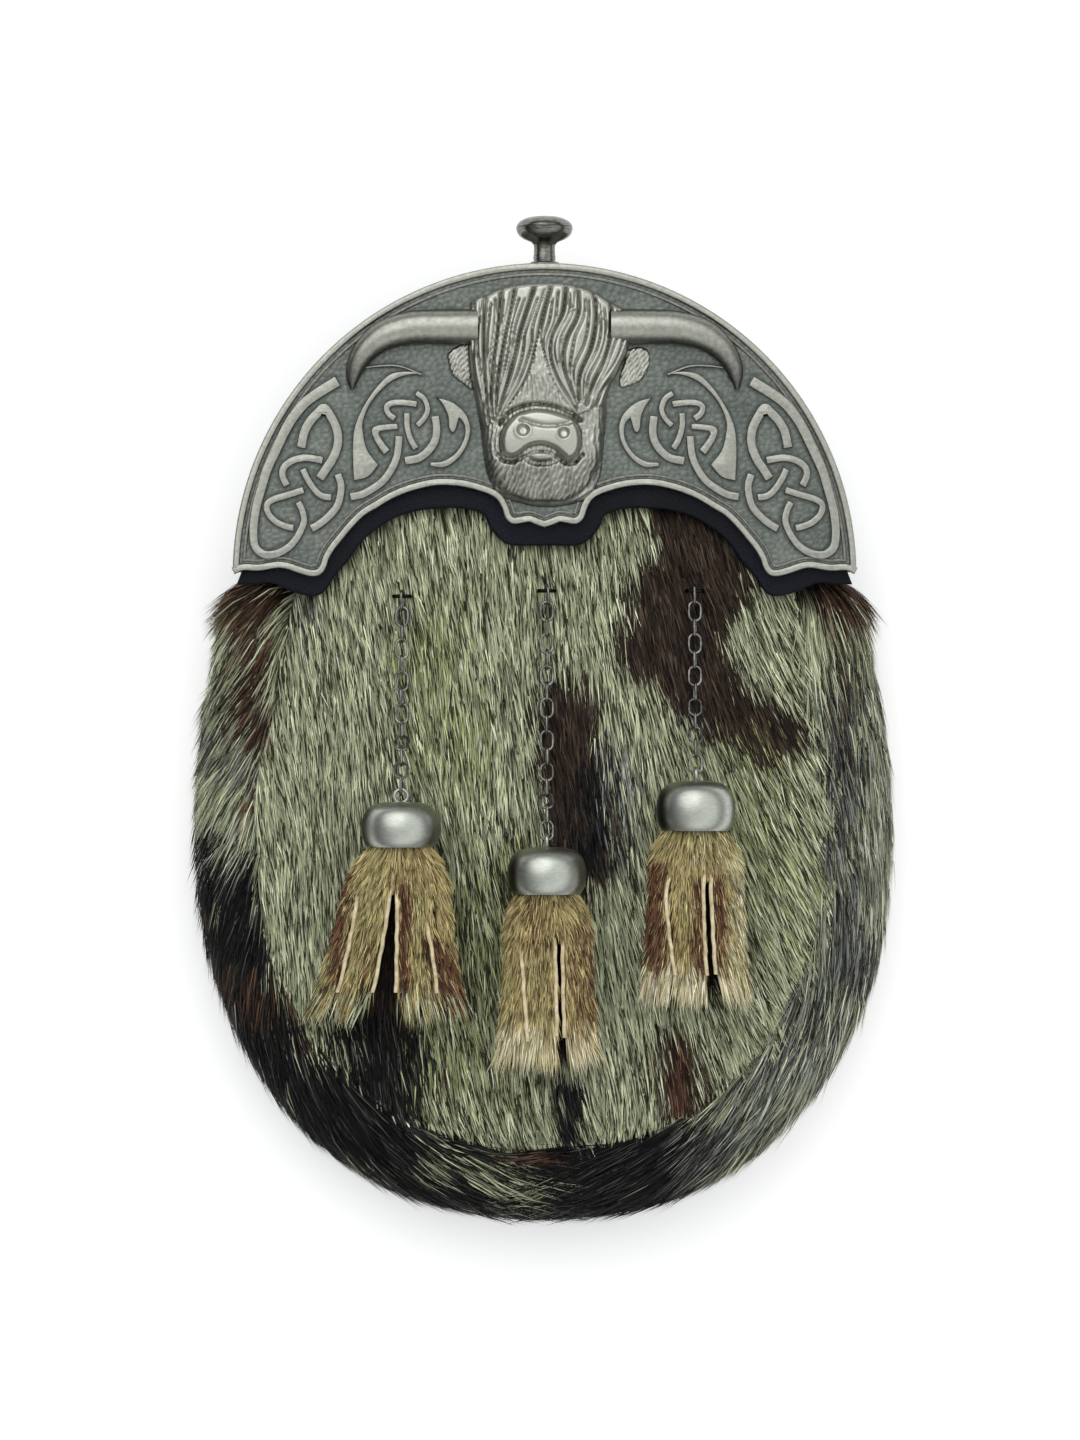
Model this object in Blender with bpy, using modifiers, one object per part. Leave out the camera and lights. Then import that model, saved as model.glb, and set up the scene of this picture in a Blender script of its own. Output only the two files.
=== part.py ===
"""Dress sporran: a fur faced leather pouch with a cast cantle, three chains and three tassels.

The pouch lies on its back. +X is right as seen from the front, +Y runs up to the knob and +Z comes
out of the front. The origin is on the surface below, under the middle of the whole.
"""

import math

import bmesh
import bpy
from mathutils import Matrix, Vector

MM = 0.001
GAP = 0.3 * MM  # between pieces that touch
WALL = 2 * MM  # leather
FLAT_ANGLE = math.radians(0.1)  # faces that meet at less are made one

# The points of the relief are read in a front view, whose unit is this long and whose y runs down
UNIT = 0.257 * MM
VIEW_AXIS_X = 544.5
VIEW_MIDDLE_Y = 717

# Outline of the fur, seen from the front
WIDEST_Y = -31 * MM
FUR_HALF_WIDTH = 93.4 * MM
FUR_BOTTOM_Y = -130.4 * MM
ROUNDNESS = 2.2  # exponent of the lower outline, where 2 is an ellipse
SHOULDER_Y = 34 * MM
SHOULDER_NARROWING = 10.3 * MM
UPPER_SHARE = 0.3  # of the outline's parameter, above the widest place
OUTLINE_STEP = 0.004  # of the outline's parameter, for its direction

# Levels above the surface
BACK_RISE = 7.3 * MM  # the back's upper half stands on the strap loops
BACK_FLAT_Y = 0.0
BACK_RISEN_Y = 33 * MM
SEAM_TOP_Z = 33.9 * MM
PANEL_RIM_Z = SEAM_TOP_Z + GAP + WALL
PANEL_DOME = 4 * MM
DOME_MIDDLE_Y = -35 * MM
DOME_HALF_WIDTH = 74 * MM
DOME_BELOW = 76 * MM
DOME_ABOVE = 62 * MM
FUR_CLEARANCE = 0.7 * MM
FUR_DEPTH = 3 * MM
LINER_Z = PANEL_RIM_Z + FUR_CLEARANCE + FUR_DEPTH + GAP
LINER_THICKNESS = 2.5 * MM

# Side wall. Each row: inset from the fur's outline in mm, share of the height between the seams
GUSSET_PROFILE = ((17, 0), (10.5, 0.22), (8.3, 0.5), (11, 0.78), (19.5, 1))
BAND_FUR_PROFILE = ((14.2, 0.03), (5, 0.14), (0.6, 0.42), (2.4, 0.74), (9.5, 1.04), (17.0, 1.08))
BAND_COLUMNS = 20
BACK_SEAM_INSET = 14 * MM
FRONT_SEAM_INSET = 18.6 * MM
LOCK_DEPTH = 1.6 * MM
FUR_FOOT = (15.5, 0.05)  # rows on the gusset between which the fur sits
FUR_LIP = (17.0, 0.935)

# Front panel, above the shoulders. Each row: y in mm, half width in mm
PANEL_TOP_ROWS = ((58, 54), (46, 60))
PANEL_ROWS = 6
PANEL_COLUMNS = 8
PANEL_LAST_ROW = 0.478  # parameter of the lowest row on the outline
PANEL_ROW_POWER = 0.9  # below 1 the rows lie closer together at the bottom
FRONT_LOCK_DEPTH = 1.1 * MM

# Cantle
ARC_CENTRE_Y = 36.5 * MM
ARC_RADIUS = 80.2 * MM
ARC_WALL = 1.8 * MM
ARC_STEPS = 22
PLATE_Z = LINER_Z + LINER_THICKNESS + 2 * GAP
PLATE_THICKNESS = 1.8 * MM
PLATE_TOP = PLATE_Z + PLATE_THICKNESS
RIM_TOP = PLATE_TOP + 0.8 * MM
RIM_WIDTH = 1.8 * MM
RELIEF_ROOT = 0.6 * MM  # how deep the raised figures reach into the plate
STRAND_TOP = PLATE_TOP + 1.2 * MM
WALL_LOW_Z = 26 * MM
TOP_GUSSET_RADIUS = 77.4 * MM
TOP_GUSSET_START = 0.4  # degrees over the cantle's lower corners
BACK_ARC_ROWS = 9
BACK_ARC_END = 82  # degrees, where the back is cut straight at its top
LINER_ARC_START = 2  # likewise

# Lower edge of the cantle, from its left corner to the middle, in the front view
LOWER_RIM = (
    (235.5, 571), (258, 567), (280, 564.5), (298, 569), (313, 573), (322, 567.5), (329, 551),
    (350, 525), (375, 505), (405, 489.5), (440, 481.5), (471, 485), (497, 496), (508, 515),
    (517, 521), (531, 518.5), (544.5, 524),
)  # fmt: skip
# Lower edge of the liner, likewise
LINER_EDGE = (
    (236, 585), (272, 583), (293, 592), (314, 596), (325, 590), (336, 574), (360, 543), (398, 516),
    (440, 508), (466, 508), (483, 514), (491, 528), (503, 541), (515, 545), (544.5, 545),
)  # fmt: skip

# Strands of the knots on the left, in the front view: width at each end, then points
KNOT_STRANDS = (
    (11, 7.5, ((338, 381), (305, 403), (280, 442), (256, 509), (254, 538), (264, 554), (281, 552),
               (299, 534), (304, 521), (298, 502))),
    (9.5, 8, ((301, 448), (310, 421), (324, 409), (338, 437), (332, 460), (320, 478))),
    (7.5, 7, ((323, 460.5), (303, 458), (286, 465), (286, 485))),
    (7, 6.5, ((302.6, 470), (314.7, 490), (331, 497.6))),
    (7.5, 7.5, ((338, 475), (341, 497), (327, 518), (311, 529))),
    (7, 6.5, ((304, 490), (267, 503), (277, 522.5), (292, 527.5))),
    (4, 17, ((418, 374), (388, 381), (366, 409), (359, 440), (367, 474))),
    (7, 7.5, ((351, 497), (383, 481), (397, 455), (399, 436))),
    (6.5, 6, ((417, 404.5), (392, 403), (394, 418))),
    (5.5, 7, ((398, 426.5), (376, 430), (387, 452))),
    (6, 6, ((416, 393), (425, 400), (427.6, 410), (418, 426))),
    (6, 6.5, ((407, 413), (407, 428), (416, 447))),
    (8, 7.5, ((436, 417), (436, 438), (427, 453), (406, 461))),
    (7, 12, ((433, 466), (456, 461), (467.5, 438), (453, 404))),
)  # fmt: skip

# Head on the cantle, in the front view
HORN_LINE = ((478, 327), (440, 327), (412, 328), (386, 335), (367, 349), (355, 367), (352, 388))
HORN_RADII = (4.6, 4.5, 4.3, 3.9, 3.2, 2.2, 0.5)  # mm, at those points
HORN_LIFT = 1.4 * MM
SKULL = ((547, 362), 20.5, 19.5, 5.0)  # middle, then half width, half height and height in mm
MUZZLE = ((541, 435), 10.3, 6.2, 7.6)
BEARD = ((544, 476), 11.5, 8.0, 3.4)
LIP = ((541, 457), 4.2, 2.2, 5.6)
NOSTRILS = ((523.5, 432), (563.5, 434))
NOSTRIL_RADIUS = 1.5  # mm
NOSTRIL_LIFT = 6.4  # mm over the plate
BOSS_SEGMENTS = 10
BOSS_RINGS = 6
# Locks of hair: points from the crown down
HAIR_LOCKS = (
    ((478, 303), (478, 350), (484, 408)),
    ((497, 291), (497, 345), (493, 412)),
    ((517, 287), (514, 340), (503, 404)),
    ((538, 285), (530, 345), (519, 393)),
    ((558, 285), (553, 340), (564, 398)),
    ((579, 287), (574, 345), (579, 397)),
    ((600, 295), (598, 345), (592, 397)),
    ((620, 311), (621, 345), (605, 391)),
)
BEARD_LOCKS = (
    ((513, 460), (510, 478), (517, 496)),
    ((543, 464), (541, 482), (545, 503)),
    ((571, 460), (577, 478), (572, 496)),
)
LOCK_WIDTH = 2.3 * MM
LOCK_TAPER = (0.7, 1, 0.5)
LOCK_LOWEST = 0.5 * MM  # of a lock's middle line over the plate

# Knob, turned about a line along Y. Each row: height above the cantle's centre, radius, in mm
KNOB_Z = 33.5 * MM
KNOB_STEM_RADIUS = 2.75 * MM
KNOB_PROFILE = (
    (93.3, 0), (93.0, 3.8), (92.0, 6.3), (90.1, 7.35), (88.4, 7.0), (87.2, 5.6), (86.4, 3.4),
    (85.6, 2.75), (78.05, 2.75), (78.05, 4.2), (77.0, 4.2), (77.0, 2.75), (72, 2.75), (72, 0),
)  # fmt: skip
KNOB_STEPS = 10
COLLAR_RADIUS = 3.9 * MM
COLLAR_HEIGHT = 1.2 * MM
CATCH_HOLE_RADIUS = 4.8 * MM

# Strap loops on the back
LOOP_WIDTH = 30 * MM
LOOP_X = 35 * MM
# Each row: y and height of the leather's middle, in mm
LOOP_LINE = ((56, 6), (61, 6), (65, 1), (85, 1), (89, 6), (94, 6))

# Chains and tassels: x, staple y, top and lip of the cap, end and half width of the tassel, in mm
DANGLES = {
    "left": (-36.7, 31.1, -21.6, -33.2, -78.5, 19.2),
    "middle": (0.6, 32.5, -33.2, -45.2, -93.5, 13.6),
    "right": (38.7, 32.5, -16.2, -29.0, -77.5, 14.6),
}
LINK_PITCH = 4.06 * MM
LINK_SPREAD = 1.57 * MM  # from the link's middle line to its wire's
WIRE_RADIUS = 0.375 * MM
LINK_STEPS = 10
WIRE_SIDES = 5
LINK_BITE = 0.12 * MM  # how far neighbouring links are pressed together, to be one body
STAPLE_RADIUS = 0.5 * MM
STAPLE_HALF_WIDTH = 2.1 * MM
STAPLE_BEND = 0.7 * MM
STAPLE_HOLE_RADIUS = 3.6 * MM
RING_RADIUS = 1.7 * MM
RING_WIRE = 0.45 * MM
RING_STEPS = 8
RING_SUNK = 0.3 * MM  # into the cap's top
HOOK_CLEARANCE = 1.15 * MM  # between the middles of a link's wire and of the wire it hangs on
CHAIN_LIFT = 2.4 * MM  # of a chain's middle line over the fur
CHAIN_RISE_LENGTH = 17 * MM
# Cap, turned about its line. Each row: height above the lip as a share, radius in mm, outside
CAP_PROFILE = ((1, 3.4), (0.96, 6.0), (0.8, 8.9), (0.45, 10.2), (0.15, 9.7), (0, 8.7))
CAP_WIDEST = max(radius for _, radius in CAP_PROFILE) * MM
CAP_WALL = 0.9 * MM
CAP_TOP_ROOM = 4 * MM  # radius of the flat top inside
CAP_STEPS = 10
# Strips of a tassel: x and z at the cap in mm from the tassel's line, then at the end x as a share
# of the room to the side, and z in mm
TASSEL_STRIPS = (
    (-4.2, 1.0, -1.0, -0.6),
    (-1.8, 3.6, -0.36, 1.4),
    (1.8, 3.6, 0.33, 1.2),
    (4.2, 1.0, 1.0, -0.4),
    (-2.8, -3.6, -0.57, -3.6),
    (2.8, -3.6, 0.55, -3.6),
)
# Sections of a strip: share of its length, share of the way outwards, half width, half thickness
STRIP_SECTIONS = ((0, 0, 2.2, 1.6), (0.14, 0.3, 3.6, 2.4), (0.5, 0.65, 4.8, 2.6), (1, 1, 3.4, 1.2))
STRIP_CORNERS = ((-1, -0.35), (0, -1), (1, -0.35), (0.55, 1), (-0.55, 1))
STRIP_START = 1.5 * MM  # inside the cap's lip
STRIP_SAG = 0.7  # below 1 a strip comes down to the fur early
TASSEL_REST = 6.8 * MM  # height of a tassel's line over the fur at its end
TASSEL_HEAD_RADIUS = 7 * MM
TASSEL_HEAD_TOP_RADIUS = 6.4 * MM
TASSEL_HEAD_LENGTH = 9 * MM
TASSEL_HEAD_Y = 0.5 * MM  # of its middle, inside the cap's lip

# Colour, roughness and metal of each material
MATERIALS = {
    "pewter": ((0.42, 0.43, 0.41), 0.38, 1.0),
    "bright_metal": ((0.62, 0.64, 0.61), 0.28, 1.0),
    "dark_steel": ((0.16, 0.16, 0.16), 0.4, 1.0),
    "black_leather": ((0.012, 0.013, 0.018), 0.5, 0.0),
    "brown_leather": ((0.05, 0.03, 0.02), 0.6, 0.0),
    "sage_fur": ((0.3, 0.31, 0.22), 0.9, 0.0),
    "dark_fur": ((0.16, 0.15, 0.12), 0.9, 0.0),
    "tan_fur": ((0.42, 0.3, 0.18), 0.9, 0.0),
}


def clear_scene():
    for thing in list(bpy.data.objects):
        bpy.data.objects.remove(thing, do_unlink=True)


def new_collection(name):
    made = bpy.data.collections.new(name)
    bpy.context.scene.collection.children.link(made)
    return made


def new_material(name):
    colour, roughness, metal = MATERIALS[name]
    made = bpy.data.materials.new(name)
    made.use_nodes = True
    shader = made.node_tree.nodes["Principled BSDF"]
    shader.inputs["Base Color"].default_value = (*colour, 1)
    shader.inputs["Roughness"].default_value = roughness
    shader.inputs["Metallic"].default_value = metal
    return made


clear_scene()
PARTS = new_collection("sporran")
HELPERS = new_collection("cutters")


def as_part(thing, name, look):
    """Makes thing one of the sporran's pieces, with its own material."""
    for old in list(thing.users_collection):
        old.objects.unlink(thing)
    PARTS.objects.link(thing)
    thing.name = name
    thing.data.name = name
    thing.data.materials.clear()
    made = new_material(look)
    made.name = f"{name}_{look}"
    thing.data.materials.append(made)
    thing.data.shade_smooth()
    thing.data.set_sharp_from_angle(angle=math.radians(40))
    return thing


def object_from(bm, name):
    """An object in the helpers' collection, from a bmesh with its faces turned out."""
    bmesh.ops.recalc_face_normals(bm, faces=bm.faces)
    mesh = bpy.data.meshes.new(name)
    bm.to_mesh(mesh)
    bm.free()
    return helper(bpy.data.objects.new(name, mesh))


def helper(thing):
    thing.hide_render = True
    thing.display_type = "WIRE"
    HELPERS.objects.link(thing)
    return thing


def show(thing):
    thing.hide_render = False
    thing.display_type = "TEXTURED"
    return thing


def mesh_of_curve(curve, name, matrix=None):
    """Turns a curve into a mesh object whose caps are welded."""
    guide = bpy.data.objects.new(name, curve)
    HELPERS.objects.link(guide)
    guide.matrix_world = matrix or Matrix()
    view = bpy.context.evaluated_depsgraph_get()
    mesh = bpy.data.meshes.new_from_object(guide.evaluated_get(view))
    place = guide.matrix_world.copy()
    bpy.data.objects.remove(guide, do_unlink=True)
    bm = bmesh.new()
    bm.from_mesh(mesh)
    bpy.data.meshes.remove(mesh)
    bmesh.ops.remove_doubles(bm, verts=bm.verts, dist=0.002 * MM)
    bmesh.ops.dissolve_limit(bm, angle_limit=FLAT_ANGLE, verts=bm.verts, edges=bm.edges)
    bm.transform(place)
    return object_from(bm, name)


def flat_solid(name, outlines, low, high):
    """Closed flat outlines, as tall as from low to high."""
    curve = bpy.data.curves.new(name, "CURVE")
    curve.dimensions = "2D"
    curve.fill_mode = "BOTH"
    curve.extrude = (high - low) / 2
    for outline in outlines:
        spline = curve.splines.new("POLY")
        spline.points.add(len(outline) - 1)
        for point, (x, y) in zip(spline.points, outline):
            point.co = (x, y, 0, 1)
        spline.use_cyclic_u = True
    return mesh_of_curve(curve, name, Matrix.Translation((0, 0, (low + high) / 2)))


def tube(name, points, radii, sides_setting=1):
    """A round wire through points, with a radius at each."""
    curve = bpy.data.curves.new(name, "CURVE")
    curve.dimensions = "3D"
    curve.bevel_depth = MM
    curve.bevel_resolution = sides_setting
    curve.use_fill_caps = True
    spline = curve.splines.new("POLY")
    spline.points.add(len(points) - 1)
    for point, place, radius in zip(spline.points, points, radii):
        point.co = (*place, 1)
        point.radius = radius / MM
    return mesh_of_curve(curve, name)


def combine(target, other, operation):
    step = target.modifiers.new(other.name, "BOOLEAN")
    step.object = other
    step.operation = operation
    step.solver = "EXACT"


def solidify(thing, thickness):
    """Gives an open surface a thickness, on the side away from its normals."""
    shell = thing.modifiers.new("thickness", "SOLIDIFY")
    shell.thickness = thickness
    shell.offset = -1
    shell.use_even_offset = True


def turned(name, profile, steps, centre):
    """A solid turned about a line along Y through centre, from rows of (y, radius)."""
    bm = bmesh.new()
    verts = [bm.verts.new((radius, 0, along)) for along, radius in profile]
    for one, two in zip(verts, verts[1:]):
        bm.edges.new((one, two))
    mesh = bpy.data.meshes.new(name)
    bm.to_mesh(mesh)
    bm.free()
    made = helper(bpy.data.objects.new(name, mesh))
    made.rotation_euler = (-math.pi / 2, 0, 0)
    made.location = centre
    screw = made.modifiers.new("turned", "SCREW")
    screw.steps = screw.render_steps = steps
    screw.use_merge_vertices = True
    screw.merge_threshold = 0.01 * MM
    return made


def from_view(x, y):
    """A point of the front view as a place in the model."""
    return (x - VIEW_AXIS_X) * UNIT, (VIEW_MIDDLE_Y - y) * UNIT


def normals_of(line):
    """Unit normals to the left of an open flat line."""
    found = []
    for i in range(len(line)):
        before, after = line[max(i - 1, 0)], line[min(i + 1, len(line) - 1)]
        along = Vector((after[0] - before[0], after[1] - before[1])).normalized()
        found.append(Vector((-along.y, along.x)))
    return found


def ribbon(line, half_widths):
    """The outline of a flat strip along line."""
    sides = [[], []]
    for (x, y), normal, half in zip(line, normals_of(line), half_widths):
        sides[0].append((x + normal.x * half, y + normal.y * half))
        sides[1].append((x - normal.x * half, y - normal.y * half))
    return sides[0] + sides[1][::-1]


def mirrored(line):
    return [(-x, y) for x, y in line]


def arc(radius, start, stop, steps):
    """Points of a circle about the cantle's centre, with angles in degrees."""
    angles = [math.radians(start + (stop - start) * i / steps) for i in range(steps + 1)]
    return [(radius * math.cos(a), ARC_CENTRE_Y + radius * math.sin(a)) for a in angles]


def arc_end(radius, y):
    """The angle at which a circle about the cantle's centre is at y."""
    return math.degrees(math.asin((y - ARC_CENTRE_Y) / radius))


# Pouch


def outline_point(t):
    """The fur's outline, from the left shoulder at 0 round the bottom to the right one at 1."""
    share = 2 * min(t, 1 - t)
    if share < UPPER_SHARE:
        y = SHOULDER_Y + (WIDEST_Y - SHOULDER_Y) * share / UPPER_SHARE
        rise = (y - WIDEST_Y) / (SHOULDER_Y - WIDEST_Y)
        x = FUR_HALF_WIDTH - SHOULDER_NARROWING * rise * rise
    else:
        turn = math.pi / 2 * (share - UPPER_SHARE) / (1 - UPPER_SHARE)
        x = FUR_HALF_WIDTH * max(math.cos(turn), 0) ** (2 / ROUNDNESS)
        y = WIDEST_Y + (FUR_BOTTOM_Y - WIDEST_Y) * math.sin(turn) ** (2 / ROUNDNESS)
    return Vector((-x if t < 0.5 else x, y))


def inset_point(t, inset):
    """A point that lies inset within the fur's outline."""
    along = outline_point(min(t + OUTLINE_STEP, 1)) - outline_point(max(t - OUTLINE_STEP, 0))
    inward = Vector((-along.y, along.x)).normalized()
    return outline_point(t) + inward * inset


def back_rise(y):
    """How high the back's outer face is at y."""
    share = min(max((y - BACK_FLAT_Y) / (BACK_RISEN_Y - BACK_FLAT_Y), 0), 1)
    return BACK_RISE * share * share * (3 - 2 * share)


def front_top(x, y):
    """Height of the leather front's outer face."""
    across = max(1 - (x / DOME_HALF_WIDTH) ** 2, 0)
    reach = DOME_BELOW if y < DOME_MIDDLE_Y else DOME_ABOVE
    along = max(1 - ((y - DOME_MIDDLE_Y) / reach) ** 2, 0)
    return PANEL_RIM_Z + PANEL_DOME * across * along


def fur_top(x, y):
    return front_top(x, y) + FUR_CLEARANCE + FUR_DEPTH


def band_place(t, inset, share):
    """A point of the side band: inset from the outline, at a share of the height between seams."""
    flat = inset_point(t, inset)
    low = back_rise(flat.y) + WALL + GAP
    return Vector((flat.x, flat.y, low + (SEAM_TOP_Z - low) * share))


def grid_faces(bm, grid):
    for row, next_row in zip(grid, grid[1:]):
        for a, b, c, d in zip(row, row[1:], next_row[1:], next_row):
            bm.faces.new((a, b, c, d))


def side_gusset():
    bm = bmesh.new()
    grid = []
    for column in range(BAND_COLUMNS + 1):
        places = [band_place(column / BAND_COLUMNS, row[0] * MM, row[1]) for row in GUSSET_PROFILE]
        grid.append([bm.verts.new(place) for place in places])
    grid_faces(bm, grid[::-1])
    wall = show(object_from_open(bm, "side_gusset"))
    solidify(wall, WALL)
    as_part(wall, "side_gusset", "brown_leather")


def object_from_open(bm, name):
    """As object_from, for an open surface whose faces already point outwards."""
    mesh = bpy.data.meshes.new(name)
    bm.to_mesh(mesh)
    bm.free()
    return helper(bpy.data.objects.new(name, mesh))


def offset_profile(profile, distance):
    """Moves a profile of (inset, share) rows outwards by distance."""
    height = SEAM_TOP_Z / MM
    line = [(inset, share * height) for inset, share in profile]
    moved = []
    for (inset, up), normal in zip(line, normals_of(line)):
        moved.append((inset + normal.x * distance / MM, (up + normal.y * distance / MM) / height))
    return moved


def band_fur():
    """The band's fur: an inner face along the gusset and an outer face in staggered locks."""
    bm = bmesh.new()
    inner_profile = offset_profile((FUR_FOOT, *GUSSET_PROFILE[1:-1], FUR_LIP), FUR_CLEARANCE)
    inner = []
    for column in range(BAND_COLUMNS + 1):
        t = column / BAND_COLUMNS
        places = [band_place(t, inset * MM, share) for inset, share in inner_profile]
        inner.append([bm.verts.new(place) for place in places])
    outer = []
    for column in range(2 * BAND_COLUMNS + 1):
        t = column / (2 * BAND_COLUMNS)
        places = []
        for row, (inset, share) in enumerate(BAND_FUR_PROFILE):
            sunk = LOCK_DEPTH if (column + row) % 2 and 0 < row < len(BAND_FUR_PROFILE) - 1 else 0
            places.append(bm.verts.new(band_place(t, inset * MM + sunk, share)))
        outer.append(places)
    grid_faces(bm, inner)
    grid_faces(bm, outer)
    for end in (0, -1):
        for i in range(BAND_COLUMNS):
            edge = [outer[2 * i + 2][end], outer[2 * i + 1][end], outer[2 * i][end]]
            bm.faces.new([inner[i][end], inner[i + 1][end], *edge])
    for end in (0, -1):
        bm.faces.new([*inner[end], *outer[end][::-1]])
    as_part(show(object_from(bm, "band_fur")), "band_fur", "dark_fur")


def panel_rows(inset):
    """Rows of (y, half width) of a panel that lies inset within the fur's outline."""
    rows = [(y * MM, half * MM) for y, half in PANEL_TOP_ROWS]
    for i in range(PANEL_ROWS):
        place = inset_point(PANEL_LAST_ROW * (i / (PANEL_ROWS - 1)) ** PANEL_ROW_POWER, inset)
        rows.append((place.y, -place.x))
    return rows


def finer(rows):
    """The rows with one more between each two."""
    found = [rows[0]]
    for one, two in zip(rows, rows[1:]):
        found.append(tuple((a + b) / 2 for a, b in zip(one, two)))
        found.append(two)
    return found


def panel_grid(bm, rows, columns, height):
    """Vertices over rows, with height(x, y, row, column) above the surface."""
    grid = []
    for r, (y, half) in enumerate(rows):
        line = []
        for c in range(columns + 1):
            x = half * (2 * c / columns - 1)
            line.append(bm.verts.new((x, y, height(x, y, r, c))))
        grid.append(line)
    return grid


def front_panel():
    bm = bmesh.new()
    grid = panel_grid(
        bm, panel_rows(FRONT_SEAM_INSET), PANEL_COLUMNS, lambda x, y, r, c: front_top(x, y)
    )
    grid_faces(bm, grid)
    bmesh.ops.recalc_face_normals(bm, faces=bm.faces)
    if next(iter(bm.faces)).normal.z < 0:
        bmesh.ops.reverse_faces(bm, faces=bm.faces)
    panel = show(object_from_open(bm, "front_panel"))
    solidify(panel, WALL)
    as_part(panel, "front_panel", "brown_leather")


def front_fur():
    """The front's fur: a lower face along the panel and an upper face in staggered locks."""
    rows = panel_rows(FRONT_SEAM_INSET + GAP)
    fine_rows = finer(rows)
    last_row, last_column = len(fine_rows) - 1, 2 * PANEL_COLUMNS

    def lock_height(x, y, r, c):
        edge = r in (0, last_row) or c in (0, last_column)
        sunk = FRONT_LOCK_DEPTH if edge or (r + c) % 2 else 0
        return fur_top(x, y) - sunk

    bm = bmesh.new()
    lower = panel_grid(
        bm, rows, PANEL_COLUMNS, lambda x, y, r, c: front_top(x, y) + FUR_CLEARANCE
    )
    upper = panel_grid(bm, fine_rows, 2 * PANEL_COLUMNS, lock_height)
    grid_faces(bm, lower)
    grid_faces(bm, upper)
    for end in (0, -1):
        for i in range(PANEL_COLUMNS):
            edge = [upper[end][2 * i + 2], upper[end][2 * i + 1], upper[end][2 * i]]
            bm.faces.new([lower[end][i], lower[end][i + 1], *edge])
        for i in range(len(rows) - 1):
            edge = [upper[2 * i + 2][end], upper[2 * i + 1][end], upper[2 * i][end]]
            bm.faces.new([lower[i][end], lower[i + 1][end], *edge])
    fur = show(object_from(bm, "front_fur"))
    for side, (x, staple_y, *_) in DANGLES.items():
        hole = cylinder(f"staple_hole_{side}", STAPLE_HOLE_RADIUS, 4 * FUR_DEPTH, 10)
        hole.location = (x * MM, staple_y * MM, fur_top(x * MM, staple_y * MM))
        combine(fur, hole, "DIFFERENCE")
    as_part(fur, "front_fur", "sage_fur")


def cylinder(name, radius, depth, segments, top_radius=None):
    bm = bmesh.new()
    bmesh.ops.create_cone(
        bm, cap_ends=True, segments=segments, radius1=radius,
        radius2=radius if top_radius is None else top_radius, depth=depth,
    )  # fmt: skip
    return object_from(bm, name)


def cylinder_on_knob_line(name, radius, depth, y, segments):
    made = cylinder(name, radius, depth, segments)
    made.data.transform(Matrix.Translation((0, y, KNOB_Z)) @ Matrix.Rotation(math.pi / 2, 4, "X"))
    return made


def back_panel():
    """The back: flat where it rests, and raised over the strap loops."""
    shares = [i / BAND_COLUMNS for i in range(BAND_COLUMNS // 2)] + [PANEL_LAST_ROW]
    low_rows = [inset_point(share, BACK_SEAM_INSET) for share in shares]
    rows = [(place.y, -place.x) for place in low_rows]
    for i in range(1, BACK_ARC_ROWS + 1):
        angle = math.radians(BACK_ARC_END * i / BACK_ARC_ROWS)
        place_y = ARC_CENTRE_Y + TOP_GUSSET_RADIUS * math.sin(angle)
        rows.insert(0, (place_y, TOP_GUSSET_RADIUS * math.cos(angle)))
    bm = bmesh.new()
    grid = []
    for y, half in rows:
        z = back_rise(y) + WALL
        grid.append([bm.verts.new((-half, y, z)), bm.verts.new((half, y, z))])
    grid_faces(bm, grid)
    bm.normal_update()
    if next(iter(bm.faces)).normal.z < 0:
        bmesh.ops.reverse_faces(bm, faces=bm.faces)
    panel = show(object_from_open(bm, "back_panel"))
    solidify(panel, WALL)
    as_part(panel, "back_panel", "black_leather")


def top_gusset():
    """The leather wall behind the cantle's arc, with a hole for the catch."""
    angles = (TOP_GUSSET_START, 180 - TOP_GUSSET_START)
    outer = arc(TOP_GUSSET_RADIUS, *angles, ARC_STEPS)
    inner = arc(TOP_GUSSET_RADIUS - WALL, *angles, ARC_STEPS)
    low = BACK_RISE + WALL + GAP
    wall = show(flat_solid("top_gusset", [outer + inner[::-1]], low, LINER_Z - GAP))
    top_y = ARC_CENTRE_Y + TOP_GUSSET_RADIUS
    hole = cylinder_on_knob_line("catch_hole", CATCH_HOLE_RADIUS, 6 * WALL, top_y, 12)
    combine(wall, hole, "DIFFERENCE")
    as_part(wall, "top_gusset", "black_leather")


def strap_loops():
    for side, sign in (("left", -1), ("right", 1)):
        bm = bmesh.new()
        grid = []
        for y, z in LOOP_LINE:
            ends = (sign * LOOP_X - LOOP_WIDTH / 2, sign * LOOP_X + LOOP_WIDTH / 2)
            grid.append([bm.verts.new((x, y * MM, z * MM)) for x in ends])
        grid_faces(bm, grid)
        loop = show(object_from_open(bm, f"strap_loop_{side}"))
        solidify(loop, WALL)
        loop.modifiers["thickness"].offset = 0
        as_part(loop, f"strap_loop_{side}", "black_leather")


# Cantle


def lower_line(points):
    """A line of the front view and its mirror image, from the left end to the right one."""
    half = [from_view(*point) for point in points]
    return half + mirrored(half[:-1])[::-1]


def cantle_liner():
    edge = lower_line(LINER_EDGE)
    corner_y = ARC_CENTRE_Y - GAP
    outline = edge + [(-edge[0][0], corner_y), (TOP_GUSSET_RADIUS, corner_y)]
    outline += arc(TOP_GUSSET_RADIUS, LINER_ARC_START, 180 - LINER_ARC_START, ARC_STEPS)
    outline += [(-TOP_GUSSET_RADIUS, corner_y), (edge[0][0], corner_y)]
    liner = show(flat_solid("cantle_liner", [outline], LINER_Z, LINER_Z + LINER_THICKNESS))
    as_part(liner, "cantle_liner", "black_leather")


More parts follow.
